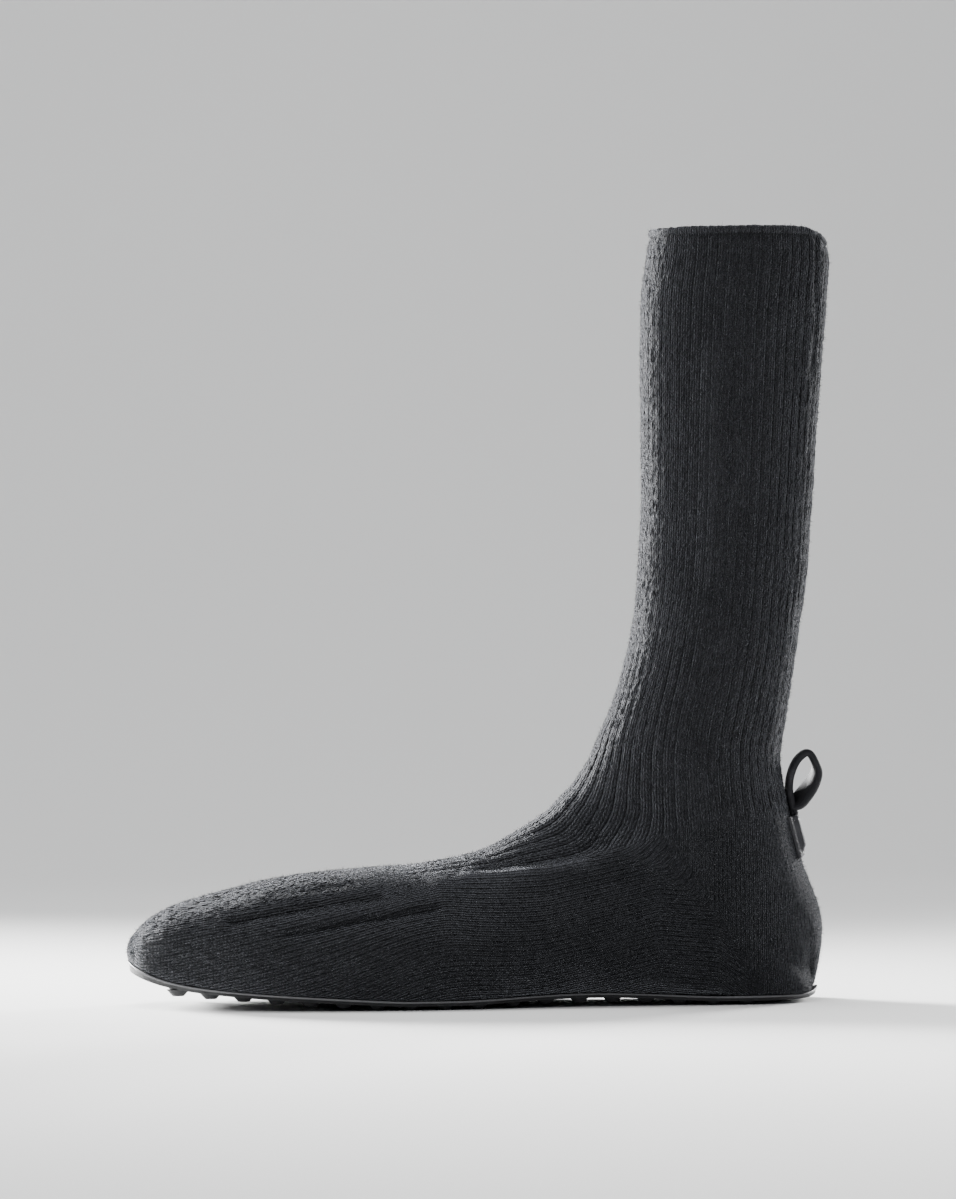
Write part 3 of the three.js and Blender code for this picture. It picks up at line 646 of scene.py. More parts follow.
class Tree:
    """Adds and joins nodes of one material or geometry tree."""

    def __init__(self, tree: NodeTree) -> None:
        """Keeps the tree that the nodes go into."""
        self.tree = tree

    def add(self, kind: str, inputs: dict[Any, Any] | None = None, **settings: Any) -> Node:
        """Adds a node.

        Args:
            kind: type name of the node.
            inputs: values or sockets for its inputs, by name or number.
            **settings: properties of the node.

        Returns:
            The new node.
        """
        node = self.tree.nodes.new(kind)
        for name, value in settings.items():
            setattr(node, name, value)
        for key, value in (inputs or {}).items():
            self.feed(node.inputs[key], value)
        return node

    def feed(self, socket: NodeSocket, value: Any) -> None:
        """Links a socket to another, or sets its value."""
        if isinstance(value, NodeSocket):
            self.tree.links.new(value, socket)
        else:
            socket.default_value = value

    def math(self, operation: str, *values: Any, clamp: bool = False) -> NodeSocket:
        """Result of a Math node."""
        node = self.add("ShaderNodeMath", dict(enumerate(values)), operation=operation, use_clamp=clamp)
        return node.outputs[0]

    def noise(self, where: Any, scale: float, detail: float = 2.0, roughness: float = 0.5) -> NodeSocket:
        """Value of a noise texture at a place."""
        inputs = {"Vector": where, "Scale": scale, "Detail": detail, "Roughness": roughness}
        return self.add("ShaderNodeTexNoise", inputs).outputs[0]

    def ramp(self, value: Any, low: float, high: float, bottom: float = 0.0, top: float = 1.0) -> NodeSocket:
        """Value mapped smoothly from the range low to high to the range bottom to top."""
        inputs = {0: value, 1: low, 2: high, 3: bottom, 4: top}
        return self.add("ShaderNodeMapRange", inputs, interpolation_type="SMOOTHSTEP").outputs[0]

    def blend(self, share: Any, first: Any, second: Any) -> NodeSocket:
        """Number between two others."""
        return self.add("ShaderNodeMix", {0: share, 2: first, 3: second}, data_type="FLOAT").outputs[0]

    def tint(self, share: Any, first: Any, second: Any) -> NodeSocket:
        """Colour between two others."""
        return self.add("ShaderNodeMix", {0: share, 6: first, 7: second}, data_type="RGBA").outputs[2]

    def bump(self, height: Any, distance: float, strength: float = 1.0, under: Any = None) -> NodeSocket:
        """Normal that a height gives, over an optional other normal."""
        inputs: dict[Any, Any] = {"Strength": strength, "Distance": distance, "Height": height}
        if under is not None:
            inputs["Normal"] = under
        return self.add("ShaderNodeBump", inputs).outputs[0]

    def copies(self, points: Node, shape: Node, **inputs: Any) -> NodeSocket:
        """Copies of one node's shape on the points of another, with other inputs of the node by name."""
        wanted = {"Points": points.outputs[0], "Instance": shape.outputs[0], **inputs}
        return self.add("GeometryNodeInstanceOnPoints", wanted).outputs[0]

    def place(self) -> NodeSocket:
        """Object coordinates."""
        return self.add("ShaderNodeTexCoord").outputs["Object"]

    def attribute(self, name: str) -> NodeSocket:
        """Number that the mesh carries under a name."""
        return self.add("ShaderNodeAttribute", attribute_name=name).outputs["Fac"]


Colour = tuple[float, float, float]


def rgba(colour: Colour) -> tuple[float, float, float, float]:
    """Colour with full opacity."""
    return (*colour, 1.0)


class Dressing:
    """A new material with its tree, whose shader's inputs are set by name."""

    def __init__(self, name: str) -> None:
        """Starts the material with its usual shader."""
        self.material = bpy.data.materials.new(name)
        self.material.use_nodes = True
        self.tree = Tree(self.material.node_tree)
        self.shader = self.material.node_tree.nodes["Principled BSDF"]

    def set(self, **inputs: Any) -> Material:
        """Sets or links inputs of the shader, with underscores for the spaces in their names.

        Args:
            **inputs: numbers, colours or sockets by input.

        Returns:
            The material.
        """
        for name, value in inputs.items():
            self.tree.feed(self.shader.inputs[name.replace("_", " ")], value)
        return self.material


@dataclass(frozen=True)
class StitchStyle:
    """V-shaped stitches on a UV map whose unit is one wale across and one course along.

    The lean says how far, in courses, a stitch's legs rise from its middle to its sides. The rib is the
    number of wales from groove to groove, and rows says how strongly the courses show, from 0 to 1.
    """

    uv_name: str
    lean: float
    rib: float
    rows: float
    groove_outer: float = 0.55
    groove_inner: float = 0.08

    def relief(self, tree: Tree) -> tuple[Any, Any]:
        """Adds the pattern's nodes.

        Args:
            tree: tree that the nodes go into.

        Returns:
            Height of the stitches and depth of the grooves, both between 0 and 1.
        """
        where = tree.add("ShaderNodeUVMap", uv_map=self.uv_name).outputs[0]
        split = tree.add("ShaderNodeSeparateXYZ", {0: where})
        across = tree.math("ABSOLUTE", tree.math("SUBTRACT", tree.math("FRACT", split.outputs[0]), 0.5))
        leg = self.hump(tree, tree.math("MULTIPLY_ADD", across, 4.0, -1.0))
        row = tree.math("FRACT", tree.math("MULTIPLY_ADD", across, 2 * self.lean, split.outputs[1]))
        loop = self.hump(tree, tree.math("MULTIPLY_ADD", row, 2.0, -1.0))
        height = tree.math("MULTIPLY", leg, tree.math("MULTIPLY_ADD", loop, self.rows, 1.0 - self.rows))
        turn = tree.math("FRACT", tree.math("DIVIDE", split.outputs[0], self.rib))
        off = tree.math("ABSOLUTE", tree.math("MULTIPLY_ADD", turn, 2.0, -1.0))
        return height, tree.ramp(off, 1.0 - self.groove_outer / self.rib, 1.0 - self.groove_inner / self.rib)

    @staticmethod
    def hump(tree: Tree, value: Any) -> Any:
        """Round hump: 1 where the value is 0, and 0 where it is 1 or -1."""
        return tree.math("SUBTRACT", 1.0, tree.math("POWER", value, 2.0))


@dataclass(frozen=True)
class KnitFinish:
    """Fuzzy wool knit: V-shaped stitches in lengthwise wales, flecked charcoal yarn."""

    dark: Colour = (0.0042, 0.0044, 0.0056)
    light: Colour = (0.042, 0.043, 0.049)
    tube: StitchStyle = StitchStyle("tube", 0.9, 2.0, 0.65)
    sock: StitchStyle = StitchStyle("sock", 0.35, 1.0, 0.3)
    cloud_scale: float = 38.0
    wear_scale: float = 90.0
    lump_scale: float = 520.0
    fuzz_scale: float = 1500.0
    lump_height: float = 0.8
    stitch_depth: float = 0.001
    fuzz_depth: float = 0.0005
    fuzz_strength: float = 0.9
    fleck_light: float = 0.75
    # Strength of the painted light on the stitches: tops lighter, with painted shade in the hollows.
    stitch_painted_light: float = 0.4
    # Strength of the painted shade in the rib grooves.
    groove_painted_shade: float = 0.85
    # Strengths of the painted shade in the folds' troughs and of the painted highlight on their ridges and
    # the hem band.
    fold_painted_shade: float = 0.9
    fold_painted_highlight: float = 0.6
    roughness: float = 0.95
    specular: float = 0.2
    sheen: float = 0.3
    sheen_roughness: float = 0.3
    sheen_tint: Colour = (0.86, 0.9, 1.0)

    def material(self) -> Material:
        """Builds the knit's material."""
        dressing = Dressing("knit_wool")
        tree = dressing.tree
        place = tree.place()
        lower = tree.attribute("lower")
        tube, tube_groove = self.tube.relief(tree)
        sock, sock_groove = self.sock.relief(tree)
        stitch = tree.blend(lower, tube, sock)
        cloud = tree.noise(place, self.cloud_scale)
        wear = tree.ramp(tree.noise(place, self.wear_scale, 3.0, 0.6), 0.36, 0.6, 0.3, 1.0)
        clear = tree.math("MULTIPLY", wear, tree.attribute("ribbing"))
        groove = tree.math("MULTIPLY", tree.blend(lower, tube_groove, sock_groove), clear)
        fuzz = tree.noise(place, self.fuzz_scale, 3.0, 0.6)
        lumps = tree.noise(place, self.lump_scale, 2.0, 0.55)
        height = tree.math("MULTIPLY_ADD", lumps, self.lump_height, tree.math("SUBTRACT", stitch, groove))
        coarse = tree.bump(height, self.stitch_depth)
        fleck = tree.math("MULTIPLY", tree.ramp(fuzz, 0.45, 0.66), tree.ramp(lumps, 0.38, 0.62))
        # Painted shade in the hollows between stitches: the colour lightens with the stitches' height.
        stitch_shade = tree.math("MULTIPLY", stitch, self.stitch_painted_light)
        shade = tree.math("MULTIPLY_ADD", fleck, self.fleck_light, stitch_shade)
        # Painted shade in the rib grooves: the grooves darken the colour as well as the bump.
        shade = tree.math("MULTIPLY", shade, tree.math("MULTIPLY_ADD", groove, -self.groove_painted_shade, 1.0))
        shade = tree.math("MULTIPLY", shade, tree.ramp(cloud, 0.3, 0.7, 0.75, 1.15))
        # Painted light that the mesh carries: painted shade darkens the yarn, painted highlight lightens it.
        tone = tree.attribute("tone")
        painted_shade = tree.math("MULTIPLY_ADD", tree.math("MINIMUM", tone, 0.0), self.fold_painted_shade, 1.0)
        painted_highlight = tree.math("MULTIPLY", tree.math("MAXIMUM", tone, 0.0), self.fold_painted_highlight)
        shade = tree.math("MULTIPLY_ADD", shade, painted_shade, painted_highlight, clamp=True)
        return dressing.set(
            Base_Color=tree.tint(shade, rgba(self.dark), rgba(self.light)),
            Normal=tree.bump(fuzz, self.fuzz_depth, self.fuzz_strength, coarse),
            Roughness=self.roughness,
            Specular_IOR_Level=self.specular,
            Sheen_Weight=self.sheen,
            Sheen_Roughness=self.sheen_roughness,
            Sheen_Tint=rgba(self.sheen_tint),
        )


@dataclass(frozen=True)
class FibreFinish:
    """Loose wool fibres that stand off the knit."""

    dark: Colour = (0.005, 0.0052, 0.0064)
    light: Colour = (0.024, 0.0245, 0.0275)
    fleck_scale: float = 700.0
    roughness: float = 0.9
    specular: float = 0.1
    sheen: float = 0.08

    def material(self) -> Material:
        """Builds the fibres' material."""
        dressing = Dressing("wool_fibre")
        tree = dressing.tree
        share = tree.ramp(tree.noise(tree.place(), self.fleck_scale, 2.0, 0.6), 0.3, 0.7)
        return dressing.set(
            Base_Color=tree.tint(share, rgba(self.dark), rgba(self.light)),
            Roughness=self.roughness,
            Specular_IOR_Level=self.specular,
            Sheen_Weight=self.sheen,
        )


@dataclass(frozen=True)
class RubberFinish:
    """Moulded black rubber, slightly dusty, with a fine pebbled face and a painted highlight along the edge
    of its lip.
    """

    base: Colour = (0.009, 0.0093, 0.0105)
    worn: Colour = (0.03, 0.031, 0.034)
    # Colour of the painted highlight along the lip.
    edge: Colour = (0.11, 0.11, 0.115)
    pebble_scale: float = 1300.0
    pebble_depth: float = 0.00012
    wear_scale: float = 60.0
    smoothest: float = 0.38
    roughest: float = 0.63
    specular: float = 0.35

    def material(self) -> Material:
        """Builds the rubber's material."""
        dressing = Dressing("sole_rubber")
        tree = dressing.tree
        place = tree.place()
        wear = tree.noise(place, self.wear_scale, 3.0, 0.6)
        face = tree.tint(tree.ramp(wear, 0.45, 0.8), rgba(self.base), rgba(self.worn))
        return dressing.set(
            # Painted highlight: the lip's side band takes the paler colour.
            Base_Color=tree.tint(tree.attribute("lip"), face, rgba(self.edge)),
            Normal=tree.bump(tree.noise(place, self.pebble_scale), self.pebble_depth, 0.6),
            Roughness=tree.ramp(wear, 0.2, 0.8, self.smoothest, self.roughest),
            Specular_IOR_Level=self.specular,
        )


@dataclass(frozen=True)
class BoardFinish:
    """Dark textile face of the insole board."""

    dark: Colour = (0.014, 0.014, 0.017)
    light: Colour = (0.035, 0.036, 0.042)
    weave_scale: float = 320.0
    nap_scale: float = 1600.0
    weave_depth: float = 0.0003
    roughness: float = 0.9

    def material(self) -> Material:
        """Builds the board's material."""
        dressing = Dressing("insole_textile")
        tree = dressing.tree
        place = tree.place()
        waves = {"Vector": place, "Scale": self.weave_scale, "Distortion": 0.6}
        weave = tree.add("ShaderNodeTexWave", waves).outputs[1]
        nap = tree.noise(place, self.nap_scale, 2.0, 0.6)
        return dressing.set(
            Base_Color=tree.tint(nap, rgba(self.dark), rgba(self.light)),
            Normal=tree.bump(tree.math("MULTIPLY_ADD", nap, 0.6, weave), self.weave_depth, 0.7),
            Roughness=self.roughness,
        )


@dataclass(frozen=True)
class LeatherFinish:
    """Smooth dark leather with a fine grain, shallow wrinkles and rubbed, paler spots."""

    name: str = "trim_leather"
    base: Colour = (0.019, 0.019, 0.0215)
    rubbed: Colour = (0.04, 0.04, 0.044)
    roughness: float = 0.7
    specular: float = 0.12
    grain_scale: float = 1400.0
    grain_depth: float = 0.00006
    wrinkle_scale: float = 260.0
    wrinkle_depth: float = 0.00018
    rub_scale: float = 140.0

    def material(self) -> Material:
        """Builds the leather's material."""
        dressing = Dressing(self.name)
        tree = dressing.tree
        place = tree.place()
        cell = {"Vector": place, "Scale": self.grain_scale}
        cells = tree.add("ShaderNodeTexVoronoi", cell, feature="DISTANCE_TO_EDGE")
        grain = tree.bump(tree.ramp(cells.outputs[0], 0.0, 0.25), self.grain_depth, 0.5)
        wrinkles = tree.noise(place, self.wrinkle_scale, 4.0, 0.6)
        rub = tree.ramp(tree.noise(place, self.rub_scale, 3.0, 0.6), 0.5, 0.8)
        return dressing.set(
            Base_Color=tree.tint(rub, rgba(self.base), rgba(self.rubbed)),
            Normal=tree.bump(wrinkles, self.wrinkle_depth, 0.5, grain),
            Roughness=tree.ramp(wrinkles, 0.3, 0.7, self.roughness - 0.06, self.roughness + 0.12),
            Specular_IOR_Level=self.specular,
        )


@dataclass(frozen=True)
class ThreadFinish:
    """Waxed black sewing thread."""

    dark: Colour = (0.02, 0.02, 0.023)
    light: Colour = (0.07, 0.07, 0.08)
    ply_scale: float = 2600.0
    ply_depth: float = 0.0001
    roughness: float = 0.5

    def material(self) -> Material:
        """Builds the thread's material."""
        dressing = Dressing("sewing_thread")
        tree = dressing.tree
        ply = tree.noise(tree.place(), self.ply_scale, 1.0)
        return dressing.set(
            Base_Color=tree.tint(ply, rgba(self.dark), rgba(self.light)),
            Normal=tree.bump(ply, self.ply_depth, 0.6),
            Roughness=self.roughness,
        )


class Pattern:
    """A Geometry Nodes tree with named sizes that is baked to a plain mesh."""

    def __init__(self, name: str) -> None:
        """Starts the tree with its geometry sockets."""
        self.group = bpy.data.node_groups.new(name, "GeometryNodeTree")
        self.tree = Tree(self.group)
        self.sizes: dict[str, tuple[str, Any]] = {}
        self.group.interface.new_socket("Geometry", in_out="INPUT", socket_type="NodeSocketGeometry")
        self.group.interface.new_socket("Geometry", in_out="OUTPUT", socket_type="NodeSocketGeometry")
        self.start = self.tree.add("NodeGroupInput")
        self.end = self.tree.add("NodeGroupOutput")

    def size(self, name: str, value: Any, kind: str = "NodeSocketFloat") -> NodeSocket:
        """Adds a named input.

        Args:
            name: the input's name.
            value: the number that this boot uses.
            kind: type of the socket.

        Returns:
            The socket that gives the number inside the tree.
        """
        item = self.group.interface.new_socket(name, in_out="INPUT", socket_type=kind)
        self.sizes[name] = (item.identifier, value)
        return self.start.outputs[name]

    def finish(self, geometry: NodeSocket, material: Material) -> None:
        """Ends the tree: instances made real, material set."""
        real = self.tree.add("GeometryNodeRealizeInstances", {0: geometry})
        inputs = {"Geometry": real.outputs[0], "Material": material}
        dressed = self.tree.add("GeometryNodeSetMaterial", inputs)
        self.tree.feed(self.end.inputs[0], dressed.outputs[0])

    def make(self, name: str, source: Mesh, smooth: bool = True) -> Object:
        """Runs the tree on a mesh and keeps the result as a plain mesh.

        Args:
            name: name of the new piece.
            source: mesh that the tree starts from.
            smooth: whether the faces are shaded smoothly.

        Returns:
            The new piece.
        """
        holder = bpy.data.objects.new(name + "_source", source)
        bpy.context.scene.collection.objects.link(holder)
        modifier = holder.modifiers.new("pattern", "NODES")
        modifier.node_group = self.group
        for identifier, value in self.sizes.values():
            modifier[identifier] = value
        bpy.context.view_layer.update()
        evaluated = holder.evaluated_get(bpy.context.evaluated_depsgraph_get())
        mesh = bpy.data.meshes.new_from_object(evaluated)
        bpy.data.objects.remove(holder)
        mesh.name = name
        return new_object(name, mesh, None, smooth)


def stitch_pattern(name: str, pitch: float, length: float, width: float, material: Material) -> Pattern:
    """Pattern that lays capsule-shaped stitches along the edges of a mesh.

    Args:
        name: name of the tree.
        pitch: distance from stitch to stitch in millimetres.
        length: length of a stitch in millimetres.
        width: width of the thread in millimetres.
        material: the thread's material.

    Returns:
        The finished pattern.
    """
    pattern = Pattern(name)
    tree = pattern.tree
    step = pattern.size("Pitch", pitch * MM)
    long = pattern.size("Stitch length", length * MM)
    thick = pattern.size("Thread width", width * MM)
    curve = tree.add("GeometryNodeMeshToCurve", {0: pattern.start.outputs[0]})
    spaced = tree.add("GeometryNodeResampleCurve", {"Curve": curve.outputs[0], "Length": step}, mode="LENGTH")
    bead = tree.add("GeometryNodeMeshUVSphere", {"Segments": 6, "Rings": 5, "Radius": 0.5})
    stretch = tree.add("ShaderNodeCombineXYZ", {0: thick, 1: thick, 2: long})
    tangent = tree.add("GeometryNodeInputTangent")
    turned = tree.add("FunctionNodeAlignRotationToVector", {"Vector": tangent.outputs[0]}, axis="Z")
    pattern.finish(tree.copies(spaced, bead, Rotation=turned.outputs[0], Scale=stretch.outputs[0]), material)
    return pattern


def nap_pattern(density: float, length: float, width: float, material: Material) -> Pattern:
    """Pattern that stands thin tapered fibres, leaning all ways, on faces whose points have skin set to 1.

    Args:
        density: fibres on each square millimetre.
        length: mean length of a fibre in millimetres.
        width: width of a fibre at its root in millimetres.
        material: the fibres' material.

    Returns:
        The finished pattern.
    """
    lean, full_turn = 1.1, 6.28
    shortest, longest = 0.5, 1.5
    spot_seed, lean_seed, length_seed = 11, 5, 9
    pattern = Pattern("knit_nap")
    tree = pattern.tree
    many = pattern.size("Density", density / MM**2)
    long = pattern.size("Fibre length", length * MM)
    thick = pattern.size("Fibre width", width * MM)
    skin = tree.add("GeometryNodeInputNamedAttribute", {"Name": "skin"}, data_type="FLOAT")
    share = tree.math("MULTIPLY", many, skin.outputs[0])
    spots = tree.add(
        "GeometryNodeDistributePointsOnFaces",
        {"Mesh": pattern.start.outputs[0], "Density": share, "Seed": spot_seed},
        distribute_method="RANDOM",
    )
    angles = {0: (-lean, -lean, 0.0), 1: (lean, lean, full_turn), "Seed": lean_seed}
    leaning = tree.add("FunctionNodeRandomValue", angles, data_type="FLOAT_VECTOR")
    turned = tree.add("FunctionNodeRotateRotation", {0: spots.outputs["Rotation"], 1: leaning.outputs[0]})
    turned.rotation_space = "LOCAL"
    lengths = {2: shortest, 3: longest, "Seed": length_seed}
    spread = tree.add("FunctionNodeRandomValue", lengths, data_type="FLOAT")
    high = tree.math("MULTIPLY", long, spread.outputs[1])
    scale = tree.add("ShaderNodeCombineXYZ", {0: thick, 1: thick, 2: high})
    cone = {"Vertices": 3, "Side Segments": 1, "Fill Segments": 1}
    cone |= {"Radius Top": 0.0, "Radius Bottom": 0.5, "Depth": 1.0}
    fibre = tree.add("GeometryNodeMeshCone", cone)
    pattern.finish(tree.copies(spots, fibre, Rotation=turned.outputs[0], Scale=scale.outputs[0]), material)
    return pattern


@dataclass
class KnitUpper:
    """Knitted tube: one hollow shell, open at the collar and underneath.

    Lines are pairs of Y and Z in the side view. Down from the ridge line the fine wales of the foot are
    counted, and at the zone line they meet the ribs.
    """

    form: KnitForm
    finish: KnitFinish = field(default_factory=KnitFinish)
    fibres: FibreFinish = field(default_factory=FibreFinish)
    rings: int = 340
    side_columns: int = 98
    under_columns: int = 15
    inner_rings: int = 110
    inner_side_columns: int = 26
    inner_under_columns: int = 5
    cap_rings: int = 7
    inner_cap_rings: int = 3
    hem_spots: tuple[float, ...] = (0.0, 0.12, 0.3, 0.6, 1.1, 1.8, 2.5, 2.8, 3.1, 3.5)
    inner_hem_spots: tuple[float, ...] = (0.0, 0.4, 1.1, 2.5)
    hem_height: float = 3.0
    hem_step: float = 0.5
    hem_round: float = 1.1
    ribs_per_side: int = 24
    rib_depth: float = 0.5
    rib_sharpness: float = 8
    rib_unevenness: float = 0.2
    rib_wave: float = 23.0
    wales_per_side: int = 48
    cap_start: float = 0.63
    course: float = 1.5
    fine_wale: float = 1.7
    toe_wale: float = 2.3
    fine_course: float = 1.35
    heel_round: float = 29.0
    heel_centre: float = 28.0
    corner_back: float = 79.5
    corner_round: float = 9.0
    rolling: float = 0.16
    nub: float = 0.16
    nub_limit: float = 0.35
    nub_seed: int = 7
    edge_rough: float = 0.22
    edge_seed: int = 3
    fibre_density: float = 0.42
    fibre_length: float = 1.25
    fibre_width: float = 0.14
    # The fourth number of each fold is its painted light: painted shade in a trough below 0, painted
    # highlight along a ridge above 0.
    folds: tuple[Fold, ...] = (
        Fold(-0.9, 4.0, 0.5, 0.0, ((219.5, 33.8), (203.0, 37.5), (187.2, 40.0), (164.7, 41.8))),
        Fold(-2.2, 1.4, 0.4, -1.8, ((222.0, 33.4), (203.3, 37.3), (187.4, 40.1), (166.0, 42.4))),
        Fold(-0.9, 4.0, 0.5, 0.0, ((198.0, 28.3), (184.3, 30.1), (173.8, 32.6), (144.4, 36.3))),
        Fold(-1.6, 1.3, 0.4, -1.2, ((200.0, 29.0), (184.5, 31.6), (173.9, 33.7), (144.4, 37.9))),
        Fold(-1.2, 1.1, 0.3, -1.2, ((207.0, 43.3), (188.1, 45.4), (176.0, 46.6))),
        Fold(0.7, 2.2, 0.3, 0.35, ((196.0, 34.2), (176.0, 37.6), (152.0, 40.6))),
        Fold(1.8, 5.0, 0.5, 0.25, ((143.6, 46.1), (120.8, 48.0), (102.9, 49.8), (85.1, 53.5), (64.9, 58.4))),
        Fold(1.5, 1.9, 0.4, 1.3, ((134.0, 48.4), (120.9, 49.4), (102.8, 50.6), (90.0, 52.2))),
        Fold(-1.8, 7.0, 0.6, -0.35, ((120.8, 56.0), (98.5, 61.5), (83.2, 66.4), (68.3, 72.6))),
        Fold(-1.1, 2.4, 0.4, -0.5, ((128.0, 51.8), (112.0, 53.8), (96.0, 56.6), (82.0, 60.4))),
        Fold(0.7, 4.2, 0.0, 0.4, ((40.0, 243.0), (41.4, 200.0), (41.8, 160.0))),
        Fold(-1.5, 0.9, 0.0, -0.8, ((-0.9, 287.0), (-0.2, 254.0), (1.6, 236.0))),
        Fold(0.8, 1.0, 0.0, 0.5, ((0.8, 285.0), (1.4, 254.0), (3.0, 238.0))),
        Fold(0.8, 1.8, 0.0, 0.3, ((66.0, 9.6), (49.7, 6.6), (38.4, 5.4))),
        Fold(-0.5, 1.3, 0.5, -0.4, ((42.2, 33.7), (33.5, 19.0), (25.2, 4.9))),
    )
    ridge_line: tuple[tuple[float, float], ...] = (
        (-10.0, 40.0), (25.0, 46.0), (40.0, 57.0), (62.0, 59.0), (85.0, 53.5), (103.0, 50.0), (144.0, 47.4),
        (200.0, 38.0), (262.0, 26.0),
    )
    zone_line: tuple[tuple[float, float], ...] = (
        (-10.0, 70.0), (40.0, 69.0), (62.0, 62.5), (85.0, 56.0), (103.0, 52.0), (144.0, 49.0), (200.0, 39.0),
        (262.0, 27.0),
    )

    def ring_places(self, count: int) -> np.ndarray:
        """Places along the tube at even steps of its mean length."""
        t = np.linspace(0.0, 1.0, 1200)
        top, bottom = (curve_through(rows, t) for rows in self.form.sections()[:2])
        steps = np.linalg.norm(np.diff(top, axis=0), axis=1) + np.linalg.norm(np.diff(bottom, axis=0), axis=1)
        run = np.concatenate([[0.0], np.cumsum(steps)])
        return np.interp(np.linspace(0.0, run[-1], count), run, t)

    def drop(self, t: np.ndarray) -> np.ndarray:
        """Distance of each ring under the collar's edge on the front line."""
        return self.form.height - curve_through(self.form.sections()[0], t)[:, 2]

    def collar_places(self, spots: tuple[float, ...]) -> np.ndarray:
        """Places of rings at given distances under the collar's edge."""
        t = np.linspace(0.0, 0.1, 400)
        return np.interp(spots, self.drop(t), t)

    def ring_list(self, spots: tuple[float, ...], count: int, resume: float) -> np.ndarray:
        """Places of all rings.

        Args:
            spots: distances under the collar's edge of the close rings at the hem.
            count: number of even steps along the whole tube.
            resume: distance under the collar's edge where the even steps take over.

        Returns:
            Places along the tube, in order.
        """
        t = np.concatenate([self.collar_places(spots), self.ring_places(count)])
        last, first = self.collar_places((spots[-1], resume))
        return np.unique(t[(t <= last) | (t > first)])

    def ring_runs(self, t: np.ndarray, turns: np.ndarray) -> tuple[np.ndarray, np.ndarray]:
        """Points of rings at the same turns, and the length along each ring up to each of its points."""
        points = self.form.points(t, np.broadcast_to(turns, (len(t), len(turns))))
        run = np.cumsum(np.linalg.norm(np.diff(points, axis=1), axis=2), axis=1)
        return points, np.hstack([np.zeros((len(t), 1)), run])

    def side_shares(self, t: np.ndarray, side: Side, columns: int, under: int) -> np.ndarray:
        """Shares of a ring's half from its top line down to the opening underneath, even over what shows.

        Args:
            t: places of the rings.
            side: side of the boot.
            columns: number of steps above the sole's edge.
            under: number of steps under the foot.

        Returns:
            One row of shares for each ring.
        """
        form = self.form
        visible = 1.0 - form.flat_share
        dense = np.linspace(0.0, visible, 90)
        turns = dense / 2 if side is Side.OUTER else 1 - dense / 2
        run = self.ring_runs(t, turns)[1]
        even = np.linspace(0.0, 1.0, columns + 1)
        shares = np.array([np.interp(even * row[-1], row, dense) for row in run])
        low = curve_through(form.sections()[1], t)[:, 1]
        flat = np.clip(curve_through(form.sections()[3], t)[:, 2] / 10, 0.0, 1.0)
        open_half = np.abs(form.sole.edge(side.value, low, form.margin) - form.sole.column("middle", low))
        full_half = np.abs(form.sole.edge(side.value, low) - form.sole.column("middle", low))
        rim = np.where(flat > 0.99, 1.0 - form.flat_share * open_half / np.maximum(full_half, 1.0), 1.0)
        beneath = visible + (rim - visible)[:, None] * np.linspace(0.0, 1.0, under + 1)[None, 1:]
        return np.hstack([shares, beneath])

    def ring_turns(self, t: np.ndarray, columns: int, under: int) -> np.ndarray:
        """Places around each ring from the opening's outer edge over the top line to its inner edge.

        Args:
            t: places of the rings.
            columns: number of steps on each side above the sole's edge.
            under: number of steps on each side under the foot.

        Returns:
            One row of places for each ring.
        """
        outer = self.side_shares(t, Side.OUTER, columns, under) / 2
        inner = 1.0 - self.side_shares(t, Side.INNER, columns, under) / 2
        return np.hstack([outer[:, ::-1], inner[:, 1:]])

    def fold_relief(self, points: np.ndarray, normals: np.ndarray) -> tuple[np.ndarray, np.ndarray]:
        """Relief and painted light of the folds.

        Args:
            points: places on the knit.
            normals: outward normals there.

        Returns:
            How far each place is pushed out or in, and its painted light: above 0 a painted highlight, below
            0 a painted shade.
        """
        out = np.zeros(points.shape[:2])
        tone = np.zeros(points.shape[:2])
        # Painted shade in the folds' troughs and painted highlight along their ridges.
        for fold in self.folds:
            away = distance_to_line(points[..., 1], points[..., 2], fold.line)
            facing = np.maximum(-normals[..., 0], 0.0) + fold.inner * np.maximum(normals[..., 0], 0.0)
            near = bell(away, fold.spread) * facing
            out += fold.depth * near
            tone += fold.tone * near
        return out, tone

    def lower_zone(self, points: np.ndarray) -> np.ndarray:
        """1 on the finely knitted lower part of foot and heel, 0 on shaft and vamp."""
        line = np.array(self.zone_line)
        edge = np.interp(points[..., 1], line[:, 0], line[:, 1])
        below = smooth_step(edge - points[..., 2], -3.0, 3.0)
        return np.maximum(below, smooth_step(points[..., 1], 140.0, 172.0))

    def ribbing(self, points: np.ndarray, lower: np.ndarray) -> np.ndarray:
        """How clearly the ribs show: best on the shaft's back half and the heel, least at front and toe."""
        front = smooth_step(points[..., 1], 38.0, 50.0) * smooth_step(points[..., 2], 120.0, 150.0)
        toe = smooth_step(points[..., 1], 190.0, 245.0)
        return np.clip(1.0 - 0.65 * front * (1 - lower) - 0.45 * toe, 0.0, 1.0)

